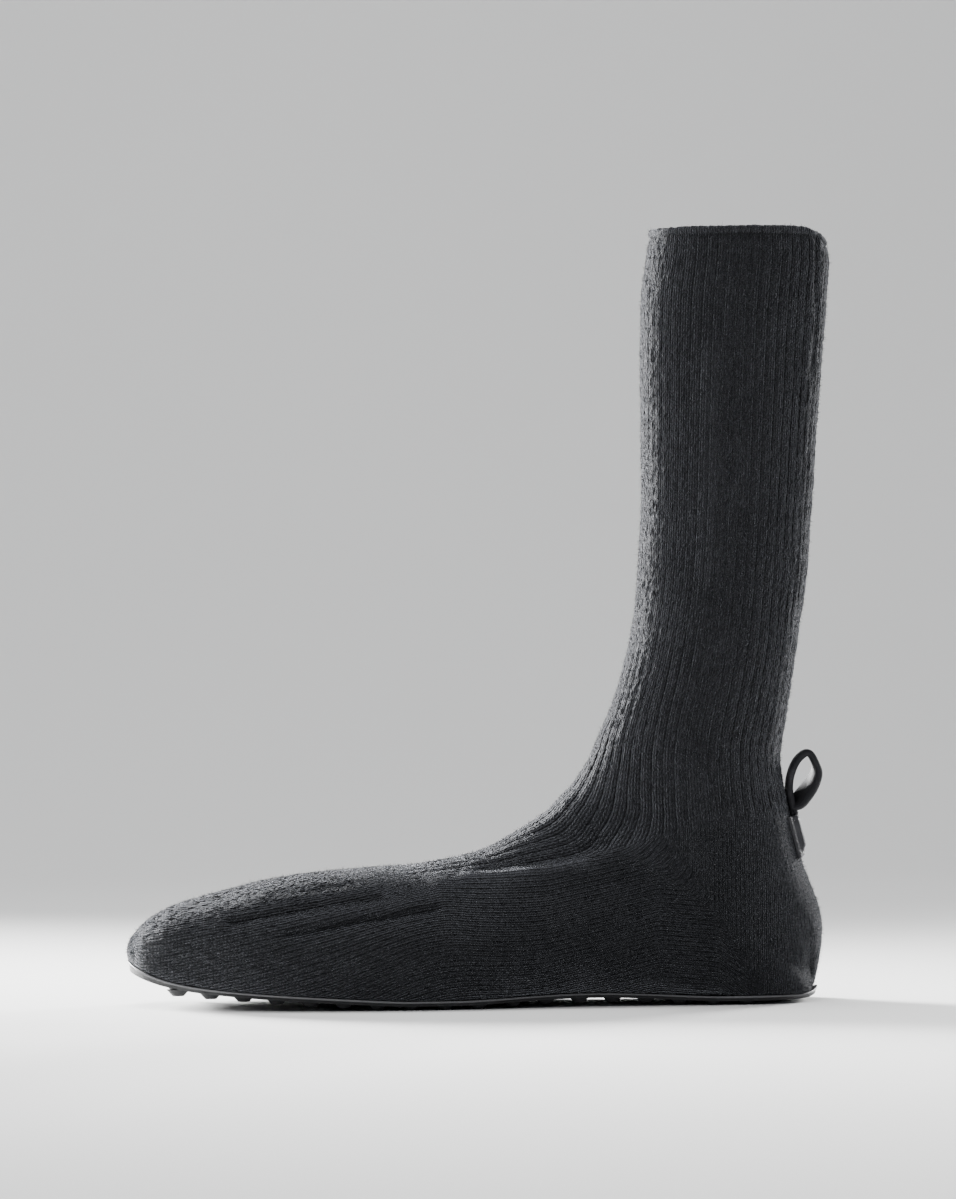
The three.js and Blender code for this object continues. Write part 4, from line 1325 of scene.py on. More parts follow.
    def sock_map(self, points: np.ndarray, arc: np.ndarray, ridge_arc: np.ndarray) -> np.ndarray:
        """Wale and course numbers of the lower zone: L-shaped wales that turn up at the heel.

        Args:
            points: places on the knit.
            arc: distance of each place from its ring's top line along the ring.
            ridge_arc: the same distance where each ring crosses the ridge line.

        Returns:
            Pairs of wale and course numbers.
        """
        x, y, z = points[..., 0], points[..., 1], points[..., 2]
        behind = self.heel_round * np.arctan2(np.abs(x), np.maximum(self.heel_centre - y, 0.01))
        beside = self.heel_round * np.pi / 2 + y - self.heel_centre
        from_back = np.where(y < self.heel_centre, behind, beside)
        upright = (self.corner_back - from_back) / (self.fine_wale - 0.1)
        pitch = self.fine_wale + (self.toe_wale - self.fine_wale) * smooth_step(y, 90.0, 210.0)
        line = np.array(self.ridge_line)
        below = np.interp(y, line[:, 0], line[:, 1]) - z
        level = smooth_step(y, 105.0, 160.0)
        lying = (below + (arc - ridge_arc[:, None] - below) * level) / pitch
        soft = np.clip(self.corner_round - 0.6 * np.maximum(upright, lying), 1.2, self.corner_round)
        weight = np.clip(0.5 + 0.5 * (upright - lying) / soft, 0.0, 1.0)
        wale = weight * upright + (1 - weight) * lying + soft * weight * (1 - weight)
        course = weight * (-z / self.fine_course) + (1 - weight) * (y / self.fine_course)
        return np.stack([wale, course], axis=-1)

    def rib_relief(self, around: np.ndarray, lengthways: np.ndarray) -> np.ndarray:
        """Grooves between the ribs, a little uneven along each rib, before they fade.

        Args:
            around: share of the way round the ring's half for each point.
            lengthways: distance of each ring along the tube.

        Returns:
            How far each point is pushed out, below 0 in the grooves.
        """
        groove = np.cos(np.pi * around * self.ribs_per_side) ** self.rib_sharpness
        index = np.round(around * self.ribs_per_side)
        wave = np.sin(lengthways[:, None] / self.rib_wave + 2.3 * index)
        return -self.rib_depth * groove * (1 - self.rib_unevenness + self.rib_unevenness * wave)

    def roll_relief(self, points: np.ndarray) -> np.ndarray:
        """Low rolling waves of slack knit, crossing the side view in two directions."""
        y, z = points[..., 1], points[..., 2]
        return self.rolling * np.sin(z / 7.1 + y / 11.0) * np.sin(y / 8.3 - z / 19.0)

    def nub_relief(self, shape: tuple[int, int]) -> np.ndarray:
        """Lumps of the yarn, one for each point, before they fade."""
        lumps = np.random.default_rng(self.nub_seed).normal(0.0, self.nub, shape)
        return np.clip(lumps, -self.nub_limit, self.nub_limit)

    def hem_relief(self, drop: np.ndarray) -> np.ndarray:
        """Step of the turned hem with its rounded top edge, by distance under the collar's edge."""
        raised = self.hem_step * (1 - smooth_step(drop, self.hem_height - 0.5, self.hem_height + 0.2))
        return raised - rounded_edge(drop, self.hem_round) - 0.4 * bell(drop - self.hem_height, 0.6)

    def surface(self, t: np.ndarray, turns: np.ndarray) -> tuple[np.ndarray, dict[str, np.ndarray]]:
        """Outer face with its relief.

        Args:
            t: places of the rings.
            turns: places around each ring.

        Returns:
            The points, and by name the two maps and the numbers that the material and the nap read.
        """
        form = self.form
        points = form.points(t, turns)
        normals = form.normals(t, turns)
        full = np.linspace(0.0, 0.5, 120)
        ring, run = self.ring_runs(t, full)
        folded = np.minimum(turns, 1 - turns)
        arc = np.array([np.interp(row, full, steps) for row, steps in zip(folded, run)])
        around = arc / run[:, -1:]
        line = np.array(self.ridge_line)
        above = ring[..., 2] - np.interp(ring[..., 1], line[:, 0], line[:, 1])
        ridge_arc = np.array([np.interp(0.0, -row, steps) for row, steps in zip(above, run)])
        lower = self.lower_zone(points)
        drop = self.drop(t)[:, None]
        steps_along = np.linalg.norm(np.diff(points[:, len(full)], axis=0), axis=1)
        lengthways = np.concatenate([[0.0], np.cumsum(steps_along)])
        ribbing = self.ribbing(points, lower)
        toeward = smooth_step(points[..., 1], 130.0, 190.0)
        below_hem = smooth_step(drop, self.hem_height, self.hem_height + 3.0)
        ribs = self.rib_relief(around, lengthways) * (1 - lower) * (1 - 0.75 * toeward) * below_hem * ribbing
        seated = smooth_step(points[..., 2] - form.sole.seat(points[..., 1]), 0.3, 4.0)
        nubs = self.nub_relief(points.shape[:2])
        nubs *= (1 - 0.55 * lower * (1 - toeward)) * smooth_step(drop, 1.6, 5.0)
        folds, tone = self.fold_relief(points, normals)
        out = (folds + ribs + self.roll_relief(points) + nubs) * seated + self.hem_relief(drop)
        # Painted highlight on the hem band, then a painted shade along the step under it.
        tone += 0.4 * (1 - smooth_step(drop, self.hem_height - 0.6, self.hem_height))
        tone -= 0.7 * bell(drop - self.hem_height - 0.2, 0.5)
        placed = points + normals * out[..., None]
        rough = np.random.default_rng(self.edge_seed).normal(0.0, self.edge_rough, points.shape[1])
        placed[..., 2] += np.clip(rough, -0.5, 0.3) * (1 - smooth_step(drop, 0.0, 3.5))
        courses = np.broadcast_to(lengthways[:, None] / self.course, around.shape)
        numbers = {
            "tube": np.stack([around * self.wales_per_side, courses], -1),
            "sock": self.sock_map(points, arc, ridge_arc),
            "lower": lower,
            "ribbing": ribbing,
            "tone": tone,
            "skin": np.ones_like(lower),
        }
        return placed, numbers

    def inner_face(self, t: np.ndarray, turns: np.ndarray) -> np.ndarray:
        """Points of the inner face, a wall's thickness inside the outer one, rounded at the collar."""
        points = self.form.points(t, turns)
        normals = self.form.normals(t, turns)
        lip = rounded_edge(self.drop(t), self.hem_round)
        out = self.fold_relief(points, normals)[0] - self.form.wall + lip[:, None]
        return points + normals * out[..., None]

    def cap(self, ring: np.ndarray, count: int, tip: np.ndarray) -> np.ndarray:
        """Rings that close the toe in a rounded end.

        Args:
            ring: points of the last ring of the tube.
            count: number of steps from that ring to the tip.
            tip: foremost point.

        Returns:
            The rings between the two.
        """
        rings = []
        centre = np.array([tip[0], ring[:, 1].mean(), tip[2]])
        begin_sine, begin_cosine = math.sin(self.cap_start), math.cos(self.cap_start)
        for angle in np.linspace(self.cap_start, np.pi / 2, count + 1)[1:-1]:
            narrow = math.cos(angle) / begin_cosine
            ahead = (math.sin(angle) - begin_sine) / (1 - begin_sine)
            moved = centre + (ring - centre) * narrow + (tip - centre) * ahead
            moved[:, 2] = np.maximum(moved[:, 2], self.form.sole.seat(moved[:, 1]) + self.form.gap)
            rings.append(moved)
        return np.array(rings)

    @staticmethod
    def wall_faces(outer: tuple[int, int], inner: tuple[int, int], rims: list[tuple[int, int]]) -> list[Any]:
        """Faces of the whole shell.

        Args:
            outer: rows and columns of the outer face's points, which come first.
            inner: rows and columns of the inner face's points, which come next, before the two tips.
            rims: first and last row of the opening underneath, on the outer face and on the inner one.

        Returns:
            Corners of each face.
        """
        (rows_out, wide_out), (rows_in, wide_in) = outer, inner
        start_in = rows_out * wide_out
        tip_out = start_in + rows_in * wide_in
        tip_in = tip_out + 1
        faces = sheet_faces(rows_out, wide_out)
        faces += sheet_faces(rows_in, wide_in, start_in, flip=True)
        last_out = (rows_out - 1) * wide_out
        last_in = start_in + (rows_in - 1) * wide_in
        faces += [(last_out + j, tip_out, last_out + j + 1) for j in range(wide_out - 1)]
        faces += [(last_in + j + 1, tip_in, last_in + j) for j in range(wide_in - 1)]
        faces += zip_rows(list(range(wide_out)), list(range(start_in, start_in + wide_in)))
        (first_out, end_out), (first_in, end_in) = rims
        for column_out, column_in in ((0, 0), (wide_out - 1, wide_in - 1)):
            rim_out = [i * wide_out + column_out for i in range(first_out, end_out)]
            rim_in = [start_in + i * wide_in + column_in for i in range(first_in, end_in)]
            faces += zip_rows(rim_out, rim_in)
        return faces

    @staticmethod
    def opening_rows(turns: np.ndarray) -> tuple[int, int]:
        """First row of the opening's rim and the row after its last, where the two ends of a ring part."""
        apart = np.flatnonzero(np.abs(turns[:, 0] - turns[:, -1]) > TINY)
        return int(apart[0]) - 1, int(apart[-1]) + 2

    @staticmethod
    def for_all_points(values: np.ndarray, cap_rows: int, total: int) -> np.ndarray:
        """Numbers of the outer face, spread to all points of the shell.

        Args:
            values: numbers or pairs for each point of each ring.
            cap_rows: number of rings on the toe's cap, which take the last ring's numbers.
            total: number of points of the shell, the rest of which get 0.

        Returns:
            One number or pair for each point.
        """
        rows = np.concatenate([values, np.repeat(values[-1:], cap_rows, axis=0)])
        flat = rows.reshape(-1, *values.shape[2:])
        return np.concatenate([flat, np.zeros((total - len(flat), *values.shape[2:]))])

    def shell(self) -> Mesh:
        """Closed mesh of the knit with its maps and numbers."""
        form = self.form
        t_out = self.ring_list(self.hem_spots, self.rings, 4.2)
        t_in = self.ring_list(self.inner_hem_spots, self.inner_rings, 5.0)
        turns_out = self.ring_turns(t_out, self.side_columns, self.under_columns)
        turns_in = self.ring_turns(t_in, self.inner_side_columns, self.inner_under_columns)
        outside, numbers = self.surface(t_out, turns_out)
        inside = self.inner_face(t_in, turns_in)
        tip = form.toe_tip()
        inner_tip = tip - (0.0, form.wall, 0.0)
        cap_out = self.cap(outside[-1], self.cap_rings, tip)
        outer = np.concatenate([outside, cap_out])
        inner = np.concatenate([inside, self.cap(inside[-1], self.inner_cap_rings, inner_tip)])
        points = np.vstack([outer.reshape(-1, 3), inner.reshape(-1, 3), [tip], [inner_tip]])
        rims = [self.opening_rows(turns_out), self.opening_rows(turns_in)]
        mesh = new_mesh("upper", points, self.wall_faces(outer.shape[:2], inner.shape[:2], rims))
        for name, values in numbers.items():
            write = write_map if values.ndim == 3 else write_number
            write(mesh, name, self.for_all_points(values, len(cap_out), len(points)))
        tidy_mesh(mesh)
        return mesh

    def build(self) -> list[Object]:
        """Builds, dresses and places the knit and its nap."""
        mesh = self.shell()
        upper = new_object("knit_upper", mesh, self.finish.material())
        pattern = nap_pattern(self.fibre_density, self.fibre_length, self.fibre_width, self.fibres.material())
        nap = pattern.make("knit_nap", mesh)
        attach(upper, BODY)
        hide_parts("upper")
        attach(nap, BODY)
        return [upper, nap]


class Level(NamedTuple):
    """Edge line of a slab: distance outside the outline, height over the seat, share of the curl left out."""

    out: float
    up: float
    flatten: float = 0.0


@dataclass
class RubberSole:
    """Thin moulded sole with its lip and rows of studs."""

    form: SoleForm
    finish: RubberFinish = field(default_factory=RubberFinish)
    lip: float = 0.7
    lip_height: float = 0.8
    stud_pitch: float = 12.5
    stud_top: float = 3.5
    stud_foot: float = 2.1
    stud_inset: float = 4.6
    stud_spacing: float = 15.0
    stud_end: float = 0.925
    outline_steps: int = 170
    across_steps: int = 14

    def outline(self, outward: float, steps: int) -> tuple[np.ndarray, np.ndarray]:
        """Outline of the sole, moved outwards.

        Args:
            outward: how far it is moved.
            steps: number of steps from the heel's end to the toe's end.

        Returns:
            Rows of X and Y on the outer side and on the inner side.
        """
        form = self.form
        span = form.length - form.heel_setback - form.toe_setback
        share = np.linspace(0.0, 1.0, steps + 1)
        y = form.heel_setback + span * (1 - np.cos(np.pi * share)) / 2
        lines = []
        for side in Side:
            line = np.stack([form.edge(side.value, y), y], axis=-1)
            along = unit(np.gradient(line, axis=0))
            away = np.stack([side.value * along[:, 1], -side.value * along[:, 0]], axis=-1)
            away[0] = (0.0, -1.0)
            away[-1] = (0.0, 1.0)
            lines.append(line + away * outward)
        return lines[0], lines[1]

    def slab(self, name: str, levels: tuple[Level, ...]) -> Mesh:
        """Closed slab that follows the sole's curve.

        Args:
            name: name of the mesh.
            levels: edge lines from the top face's edge down to the bottom face's edge.

        Returns:
            The mesh.
        """
        form = self.form
        steps = self.outline_steps
        points, faces, starts = [], [], []
        count = 2 * steps
        for out, up, flatten in levels:
            outer, inner = self.outline(out, steps)
            loop = np.vstack([outer, inner[-2:0:-1]])
            height = form.seat(loop[:, 1]) + up - flatten * form.curl(loop[:, 1])
            starts.append(sum(len(part) for part in points))
            points.append(np.column_stack([loop, height]))
        for a, b in zip(starts, starts[1:]):
            faces += [(a + i, b + i, b + (i + 1) % count, a + (i + 1) % count) for i in range(count)]
        for level, start in ((levels[0], starts[0]), (levels[-1], starts[-1])):
            faces += self.face_across(points, start, level, count)
        mesh = new_mesh(name, np.vstack(points), faces)
        tidy_mesh(mesh)
        return mesh

    def face_across(
        self, points: list[np.ndarray], start: int, level: Level, count: int
    ) -> list[tuple[int, ...]]:
        """Fills the loop of a top or bottom face.

        Args:
            points: blocks of points so far, to which those inside the loop are added.
            start: number of the loop's first point.
            level: edge line of the loop.
            count: number of points in the loop.

        Returns:
            Corners of each face.
        """
        out, up, flatten = level
        outer, inner = self.outline(out, self.outline_steps)
        known = sum(len(part) for part in points)
        share = np.linspace(0.0, 1.0, self.across_steps + 1)[1:-1]
        share_inner = share[None, :, None]
        middle = outer[1:-1, None, :] * (1 - share_inner) + inner[1:-1, None, :] * share_inner
        flat = middle.reshape(-1, 2)
        height = self.form.seat(flat[:, 1]) + up - flatten * self.form.curl(flat[:, 1])
        points.append(np.column_stack([flat, height]))
        wide = len(share)
        rows = []
        for i in range(1, self.outline_steps):
            inside = [known + (i - 1) * wide + k for k in range(wide)]
            rows.append([start + i, *inside, start + count - i])
        faces: list[tuple[int, ...]] = []
        for near, far in zip(rows, rows[1:]):
            faces += [(near[k], far[k], far[k + 1], near[k + 1]) for k in range(wide + 1)]
        heel, toe = start, start + self.outline_steps
        faces += [(heel, rows[0][k], rows[0][k + 1]) for k in range(wide + 1)]
        faces += [(toe, rows[-1][k + 1], rows[-1][k]) for k in range(wide + 1)]
        return faces

    def stud_places(self) -> np.ndarray:
        """Middle of each stud on its foot."""
        form = self.form
        rows = int((self.stud_end * form.length - form.heel_seat) / self.stud_pitch)
        places = []
        for row in range(rows + 1):
            y = form.heel_seat + row * self.stud_pitch
            low = float(form.edge(-1, y)) + self.stud_inset
            high = float(form.edge(1, y)) - self.stud_inset
            steps = 2 * max(round((high - low) / (2 * self.stud_spacing)), 1)
            places += [(low + (high - low) * i / steps, y, float(form.tread(y))) for i in range(steps + 1)]
        return np.array(places)

    def stud_pattern(self, material: Material) -> Pattern:
        """Pattern that sets a tapered stud on each point."""
        form = self.form
        root = form.stud_height + form.thickness / 2
        spread = self.stud_foot + (self.stud_top - self.stud_foot) * root / form.stud_height
        pattern = Pattern("sole_studs")
        tree = pattern.tree
        foot = pattern.size("Foot radius", self.stud_foot * MM)
        top = pattern.size("Root radius", spread * MM)
        depth = pattern.size("Height", root * MM)
        sizes = {"Vertices": 20, "Side Segments": 3, "Radius Top": top, "Radius Bottom": foot, "Depth": depth}
        cone = tree.add("GeometryNodeMeshCone", sizes)
        pattern.finish(tree.copies(pattern.start, cone), material)
        return pattern

    def build(self) -> list[Object]:
        """Builds, dresses and places the sole and its studs."""
        form = self.form
        material = self.finish.material()
        lip, under_lip = self.lip, -self.lip_height
        wall_top, bottom = under_lip - lip / 2, -form.thickness
        levels = (
            Level(lip - 0.35, 0.0),
            Level(lip - 0.1, -0.06),
            Level(lip, -0.25),
            Level(lip, under_lip + 0.15),
            Level(lip - 0.12, under_lip),
            Level(0.12, wall_top),
            Level(0.0, wall_top - 0.15),
            Level(0.0, bottom + 0.3, form.toe_thickening * 0.8),
            Level(-0.1, bottom + 0.08, form.toe_thickening),
            Level(-0.35, bottom, form.toe_thickening),
        )
        slab = self.slab("rubber_sole", levels)
        places = np.zeros(3 * len(slab.vertices))
        slab.vertices.foreach_get("co", places)
        places = places.reshape(-1, 3) / MM + (0.0, form.heel_seat, 0.0)
        # Side band of the lip, whose paler colour is a painted highlight.
        edge = places[:, 2] - form.seat(places[:, 1]) > 0.1 - self.lip_height
        write_number(slab, "lip", edge)
        sole = new_object("rubber_sole", slab, material)
        points = bpy.data.meshes.new("stud_points")
        placed = (self.stud_places() - (0.0, form.heel_seat, 0.0)) * MM
        points.from_pydata(placed.tolist(), [], [])
        studs = self.stud_pattern(material).make("sole_studs", points, smooth=False)
        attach(sole, BODY)
        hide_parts("outsole")
        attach(studs, BODY)
        return [sole, studs]


@dataclass
class Footbed:
    """Stitched-in insole board."""

    sole: RubberSole
    form: KnitForm
    finish: BoardFinish = field(default_factory=BoardFinish)
    thickness: float = 2.0
    rim_gap: float = 2.4
    step_gap: float = 0.6

    def build(self) -> Object:
        """Builds, dresses and places the insole."""
        gap = self.form.gap
        rim = -self.form.wall - self.rim_gap
        step = self.form.wall + gap + self.step_gap
        levels = (
            Level(rim - 0.5, step + self.thickness),
            Level(rim - 0.1, step + self.thickness - 0.15),
            Level(rim, step + self.thickness - 0.5),
            Level(rim, step + 0.1),
            Level(rim - 0.1, step),
            Level(-self.form.margin - gap, step),
            Level(-self.form.margin - gap, gap),
        )
        board = new_object("insole_board", self.sole.slab("insole_board", levels), self.finish.material())
        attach(board, BODY)
        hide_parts("insole")
        return board


@dataclass
class LeatherTrim:
    """Folded pull loop and the patch that is sewn over its ends."""

    form: KnitForm
    finish: LeatherFinish = field(default_factory=LeatherFinish)
    # A paler copy of the loop's leather: its lighter colours are a painted reflection, and the rubbed spots
    # in them are wear.
    patch_finish: LeatherFinish = LeatherFinish(
        name="patch_leather", base=(0.04, 0.04, 0.044), rubbed=(0.065, 0.065, 0.07), roughness=0.8
    )
    thread: ThreadFinish = field(default_factory=ThreadFinish)
    strap_thickness: float = 2.6
    strap_width: float = 13.0
    loop_height: float = 23.8
    loop_reach: float = 14.5
    foot_height: float = 71.0
    tail: float = 10.0
    tail_thickness: float = 1.1
    twist: float = 0.36
    strap_edge: float = 0.7
    strap_edge_share: float = 0.32
    strap_steps: int = 120
    tail_steps: int = 16
    swell_steps: int = 7
    blur_half: int = 6
    hug_share: float = 0.6
    patch_top: float = 69.5
    patch_height: float = 15.5
    patch_width: float = 25.0
    patch_thickness: float = 1.1
    patch_edge: float = 0.6
    patch_columns: int = 50
    patch_rows: int = 32
    seam_inset: float = 1.7
    seam_depth: float = 0.22
    seam_spread: float = 0.45
    crease_down: float = 0.83
    crease_lean: float = 0.03
    crease_depth: float = 0.3
    crease_spread: float = 0.035
    stitch_pitch: float = 2.2
    stitch_length: float = 1.7
    stitch_sink: float = 0.12
    thread_width: float = 0.5
    loop_line: tuple[tuple[float, float], ...] = (
        (0.0, 0.0), (0.0, 0.18), (0.02, 0.38), (0.13, 0.6), (0.32, 0.83), (0.56, 0.97), (0.78, 0.97),
        (0.95, 0.82), (1.0, 0.62), (0.78, 0.4), (0.5, 0.22), (0.26, 0.07), (0.085, 0.0),
    )

    def middle_line(self) -> np.ndarray:
        """Middle line of the loop in the side view, from its inner end round to its outer end."""
        form, half = self.form, self.blur_half
        out, up = (np.array(values) for values in zip(*self.loop_line))
        z = self.foot_height + up * self.loop_height
        y = form.back_at(np.zeros(len(z)), z) - form.gap - out * self.loop_reach
        outer = spline_through(np.column_stack([y, z]), np.linspace(0.0, 1.0, self.strap_steps))
        ends = np.vstack([outer[:1].repeat(half, 0), outer, outer[-1:].repeat(half, 0)])
        window = np.hanning(2 * half + 3)[1:-1]
        soft = np.column_stack([np.convolve(ends[:, k], window / window.sum(), "valid") for k in (0, 1)])
        outer[half:-half] = soft[half:-half]
        along = unit(np.gradient(outer, axis=0))
        inwards = np.column_stack([-along[:, 1], along[:, 0]])
        return outer + inwards * self.strap_thickness / 2

    def strap_path(self) -> tuple[np.ndarray, np.ndarray, np.ndarray]:
        """Middle line of the whole strap with its thickness and its turn towards the outer side.

        The tails are as thin as the patch needs, and swell to the strap's thickness above it.

        Returns:
            Rows of Y and Z, the thickness and the turn in radians at each of them.
        """
        form, full, swelling = self.form, self.strap_thickness, self.swell_steps
        ply = self.tail_thickness / 2
        tail_z = np.linspace(self.foot_height - self.tail, self.foot_height - 0.5, self.tail_steps)
        tail_y = form.back_at(np.zeros(len(tail_z)), tail_z) - form.gap
        above_patch = smooth_step(tail_z, self.patch_top - 0.9, self.patch_top + 0.9)
        swell = ply + (0.62 * full - ply) * above_patch
        inner_tail = np.column_stack([tail_y - swell / 2, tail_z])
        outer_tail = np.column_stack([tail_y - swell * 1.5, tail_z])[::-1]
        line = np.vstack([inner_tail, self.middle_line(), outer_tail])
        thick = np.full(self.strap_steps, full)
        thick[:swelling] = np.linspace(swell[-1], full, swelling)
        thick[-swelling:] = np.linspace(full, swell[-1], swelling)
        thick = np.concatenate([swell, thick, swell[::-1]])
        loop = np.linspace(0.0, 1.0, self.strap_steps)
        around = np.concatenate([np.zeros(self.tail_steps), loop, np.ones(self.tail_steps)])
        turn = self.twist * smooth_step(around, 0.56, 0.82) * (1 - smooth_step(around, 0.86, 0.99))
        return line, thick, turn

    def strap_profile(self) -> list[tuple[float, float]]:
        """Section of the strap: X in millimetres and share of the thickness, once around."""
        half = self.strap_width / 2
        thin = self.strap_edge_share
        profile = []
        for side in (1, -1):
            for x in np.linspace(-1.0, 1.0, 15) * side:
                edge = np.clip((1 - abs(x)) * half / self.strap_edge, 0.0, 1.0)
                rounded = math.sqrt(1 - (1 - edge) ** 2)
                profile.append((x * half, side * (thin + (1 - thin) * rounded) / 2))
        return profile

    def strap(self, name: str) -> Mesh:
        """Mesh of the strap: a band with rounded edges that follows its middle line."""
        form = self.form
        line, thick, turn = self.strap_path()
        along = unit(np.gradient(line, axis=0))
        across = np.column_stack([-along[:, 1], along[:, 0]])
        profile = self.strap_profile()
        places = []
        for (y, z), (ny, nz), t, angle in zip(line, across, thick, turn):
            cosine, sine = math.cos(angle), math.sin(angle)
            for x, out in profile:
                away = out * t * cosine + x * sine
                places.append((x * cosine - out * t * sine, y + ny * away, z + nz * away))
        points = np.array(places)
        hug_height = self.hug_share * self.loop_height
        held = np.minimum(points[:, 2], self.foot_height + hug_height)
        hug = np.clip(1 - (points[:, 2] - self.foot_height) / hug_height, 0.0, 1.0)
        points[:, 1] += (form.back_at(points[:, 0], held) - form.back_at(np.zeros(len(held)), held)) * hug
        count = len(profile)
        faces: list[tuple[int, ...]] = []
        for a in range(0, (len(line) - 1) * count, count):
            for k in range(count):
                after = (k + 1) % count
                faces.append((a + k, a + after, a + count + after, a + count + k))
        last = (len(line) - 1) * count
        faces.append(tuple(range(count)))
        faces.append(tuple(range(last + count - 1, last - 1, -1)))
        mesh = new_mesh(name, points, faces)
        tidy_mesh(mesh, 0.0005)
        return mesh

    def patch_places(self, across: np.ndarray, down: np.ndarray, out: np.ndarray) -> np.ndarray:
        """Points over the knit's back on the patch's own map.

        Args:
            across: places from -1 on the outer side to 1 on the inner.
            down: places from 0 at the top edge to 1 at the bottom edge.
            out: distance over the knit, besides what lies under the patch.

        Returns:
            Rows of points in millimetres.
        """
        form = self.form
        x = across * self.patch_width / 2
        top = np.full(len(x), self.patch_top)
        lean = 0.25 * (form.back_at(x, top) - form.back_at(np.zeros(len(x)), top))
        z = self.patch_top - down * self.patch_height - lean
        step = 0.5
        slope_x = (form.back_at(x + step, z) - form.back_at(x - step, z)) / (2 * step)
        slope_z = (form.back_at(x, z + step) - form.back_at(x, z - step)) / (2 * step)
        normal = unit(np.column_stack([slope_x, -np.ones(len(x)), slope_z]))
        beside = smooth_step(np.abs(x), self.strap_width / 2 + form.gap, self.strap_width / 2 + 3)
        under = smooth_step(down, 0.7, 1.0)
        over = (self.tail_thickness + 2 * form.gap) * (1 - beside) * (1 - under)
        base = np.column_stack([x, form.back_at(x, z), z])
        return base + normal * (form.gap + over + out)[:, None]

    def patch(self, name: str) -> Mesh:
        """Mesh of the patch, with rounded edges, a sunk seam line and a crease near its foot."""
        columns, rows = self.patch_columns, self.patch_rows
        grid = np.meshgrid(np.linspace(-1, 1, columns), np.linspace(0, 1, rows))
        across, down = (part.ravel() for part in grid)
        from_side = (1 - np.abs(across)) * self.patch_width / 2
        from_end = np.minimum(down, 1 - down) * self.patch_height
        rim = np.minimum(from_side, from_end)
        rounded = np.sqrt(1 - (1 - np.clip(rim / self.patch_edge, 0.0, 1.0)) ** 2)
        sunk = self.seam_depth * bell(rim - self.seam_inset, self.seam_spread)
        crease_away = down - self.crease_down - self.crease_lean * across
        crease = self.crease_depth * bell(crease_away, self.crease_spread)
        face = self.patch_thickness * (0.35 + 0.65 * rounded) - sunk - crease
        under = self.patch_places(across, down, np.zeros(len(across)))
        points = np.vstack([under, self.patch_places(across, down, face)])
        layer = rows * columns
        faces = sheet_faces(rows, columns, 0, flip=True) + sheet_faces(rows, columns, layer)
        rim_loop = [*range(columns), *(row * columns + columns - 1 for row in range(1, rows))]
        rim_loop += [(rows - 1) * columns + c for c in range(columns - 2, -1, -1)]
        rim_loop += [row * columns for row in range(rows - 2, 0, -1)]
        for a, b in zip(rim_loop, rim_loop[1:] + rim_loop[:1]):
            faces.append((a, b, layer + b, layer + a))
        mesh = new_mesh(name, points, faces)
        tidy_mesh(mesh, 0.0005)
        return mesh

    def seam_path(self) -> Mesh:
        """Line of the patch's stitches, a little inside its edges."""
        side = 1 - self.seam_inset / (self.patch_width / 2)
        end = self.seam_inset / self.patch_height
        corners = ((-side, end), (side, end), (side, 1 - end), (-side, 1 - end))
        shares = np.linspace(0, 1, 24, endpoint=False)
        places = []
        for (x0, d0), (x1, d1) in zip(corners, corners[1:] + corners[:1]):
            places += [(x0 + (x1 - x0) * share, d0 + (d1 - d0) * share) for share in shares]
        across, down = (np.array(values) for values in zip(*places))
        face = np.full(len(across), self.patch_thickness - self.stitch_sink)
        points = self.patch_places(across, down, face)
        placed = (points - (0.0, self.form.sole.heel_seat, 0.0)) * MM
        mesh = bpy.data.meshes.new("patch_seam")
        mesh.from_pydata(placed.tolist(), [(i, (i + 1) % len(placed)) for i in range(len(placed))], [])
        return mesh

    def build(self) -> list[Object]:
        """Builds, dresses and places the leather pieces and their stitches."""
        loop = new_object("leather_loop", self.strap("leather_loop"), self.finish.material())
        patch = new_object("leather_patch", self.patch("leather_patch"), self.patch_finish.material())
        sizes = (self.stitch_pitch, self.stitch_length, self.thread_width)
        pattern = stitch_pattern("patch_stitches", *sizes, self.thread.material())
        seams = pattern.make("patch_stitches", self.seam_path())
        for piece, node in ((loop, "pull_loop"), (patch, "heel_patch")):
            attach(piece, BODY)
            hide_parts(node)
        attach(seams, BODY)
        return [loop, patch, seams]


@dataclass
class PhotoCamera:
    """Camera level with the shaft on the outer side, rolled as in the photograph."""

    centre_y: float = 0.0985
    centre_z: float = 0.1523
    view_height: float = 0.4524
    distance: float = 2.4
    roll: float = 0.0116
    sensor: float = 36.0
    frame_width: int = 956
    frame_height: int = 1199

    def build(self) -> Object:
        """Makes the camera and looks through it."""
        data = bpy.data.cameras.new("photo_camera")
        data.sensor_fit = "VERTICAL"
        data.sensor_height = self.sensor
        data.sensor_width = self.sensor * self.frame_width / self.frame_height
        data.lens = self.sensor * self.distance / self.view_height
        data.clip_end = 50.0
        camera = bpy.data.objects.new("photo_camera", data)
        bpy.context.scene.collection.objects.link(camera)
        up = Vector((0.0, -math.sin(self.roll), math.cos(self.roll)))
        back = Vector((-1.0, 0.0, 0.0))
        right = up.cross(back)
        turn = Matrix((right, up, back)).transposed().to_4x4()
        camera.matrix_world = Matrix.Translation((-self.distance, self.centre_y, self.centre_z)) @ turn
        bpy.context.scene.camera = camera
        return camera


class Lamp(NamedTuple):
    """A soft area light: place, aim, size, power and how widely it spreads, in degrees."""

    name: str
    place: tuple[float, float, float]
    aim: tuple[float, float, float]
    size: float
    power: float
    spread: float


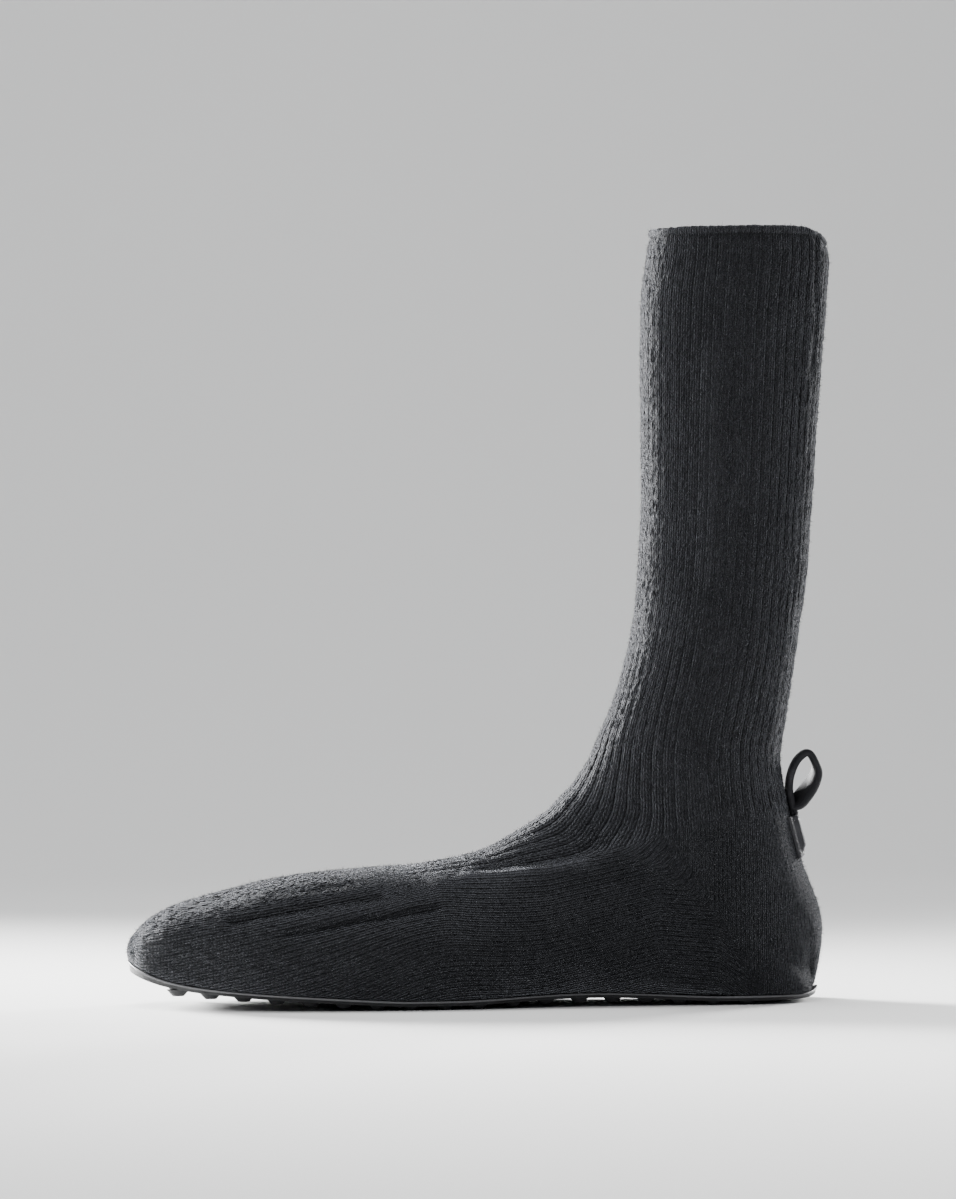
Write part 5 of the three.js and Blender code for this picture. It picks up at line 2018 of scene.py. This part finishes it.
@dataclass
class Studio:
    """Pale floor that sweeps up behind the boot, and soft lights."""

    floor_colour: Colour = (0.78, 0.78, 0.77)
    floor_roughness: float = 0.7
    cloud_scale: float = 3.0
    cloud_light: float = 1.04
    half_width: float = 3.0
    floor_front: float = -4.0
    bend_start: float = 1.1
    bend_radius: float = 0.8
    sheet_height: float = 3.2
    world_colour: Colour = (0.9, 0.93, 1.0)
    world_strength: float = 0.3
    lamps: tuple[Lamp, ...] = (
        Lamp("key_light", (-1.3, 0.9, 1.6), (0.0, 0.08, 0.12), 1.3, 20.0, 180.0),
        Lamp("toe_rim", (0.9, 0.85, 0.36), (0.0, 0.08, 0.15), 0.35, 15.0, 45.0),
        Lamp("heel_rim", (0.95, -0.7, 0.34), (0.0, 0.0, 0.15), 0.35, 3.5, 45.0),
        Lamp("top_light", (0.25, 0.35, 1.9), (0.0, 0.1, 0.05), 0.9, 34.0, 180.0),
    )

    def floor(self) -> Object:
        """Floor sheet with a rounded rise at its back."""
        start, bend = self.bend_start, self.bend_radius
        profile = [(self.floor_front, 0.0), (start, 0.0)]
        for angle in np.linspace(0.0, math.pi / 2, 24)[1:]:
            profile.append((start + bend * math.sin(angle), bend * (1 - math.cos(angle))))
        profile.append((start + bend, self.sheet_height))
        points = [(x, y, z) for x, z in profile for y in (-self.half_width, self.half_width)]
        faces = [(2 * i, 2 * i + 2, 2 * i + 3, 2 * i + 1) for i in range(len(profile) - 1)]
        mesh = bpy.data.meshes.new("floor")
        mesh.from_pydata(points, [], faces)
        dressing = Dressing("pale_floor")
        tree = dressing.tree
        cloud = tree.noise(tree.place(), self.cloud_scale)
        paler = tuple(min(1.0, value * self.cloud_light) for value in self.floor_colour)
        colour = tree.tint(cloud, rgba(self.floor_colour), rgba(paler))
        material = dressing.set(Base_Color=colour, Roughness=self.floor_roughness)
        floor = new_object("floor", mesh, material)
        return floor

    def build(self) -> None:
        """Makes floor, lights and the surrounding light."""
        self.floor()
        for lamp in self.lamps:
            data = bpy.data.lights.new(lamp.name, "AREA")
            data.shape = "SQUARE"
            data.size = lamp.size
            data.energy = lamp.power
            data.spread = math.radians(lamp.spread)
            light = bpy.data.objects.new(lamp.name, data)
            bpy.context.scene.collection.objects.link(light)
            place = Vector(lamp.place)
            light.location = place
            light.rotation_euler = (Vector(lamp.aim) - place).to_track_quat("-Z", "Y").to_euler()
        world = bpy.data.worlds.new("studio")
        world.use_nodes = True
        background = world.node_tree.nodes["Background"]
        background.inputs[0].default_value = rgba(self.world_colour)
        background.inputs[1].default_value = self.world_strength
        bpy.context.scene.world = world


def report(pieces: list[Object]) -> None:
    """Logs the triangles of each finished piece."""
    for piece in pieces:
        triangles = sum(len(face.vertices) - 2 for face in piece.data.polygons)
        log.info("%s: %d triangles", piece.name, triangles)


def main() -> None:
    """Builds the boot piece by piece, then the camera and the studio."""
    logging.basicConfig(level=logging.INFO, format="%(name)s %(message)s")
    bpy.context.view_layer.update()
    form = KnitForm()
    sole = RubberSole(form.sole)
    report(KnitUpper(form).build())
    report(sole.build())
    report([Footbed(sole, form).build()])
    report(LeatherTrim(form).build())
    PhotoCamera().build()
    Studio().build()


if __name__ == "__main__":
    main()
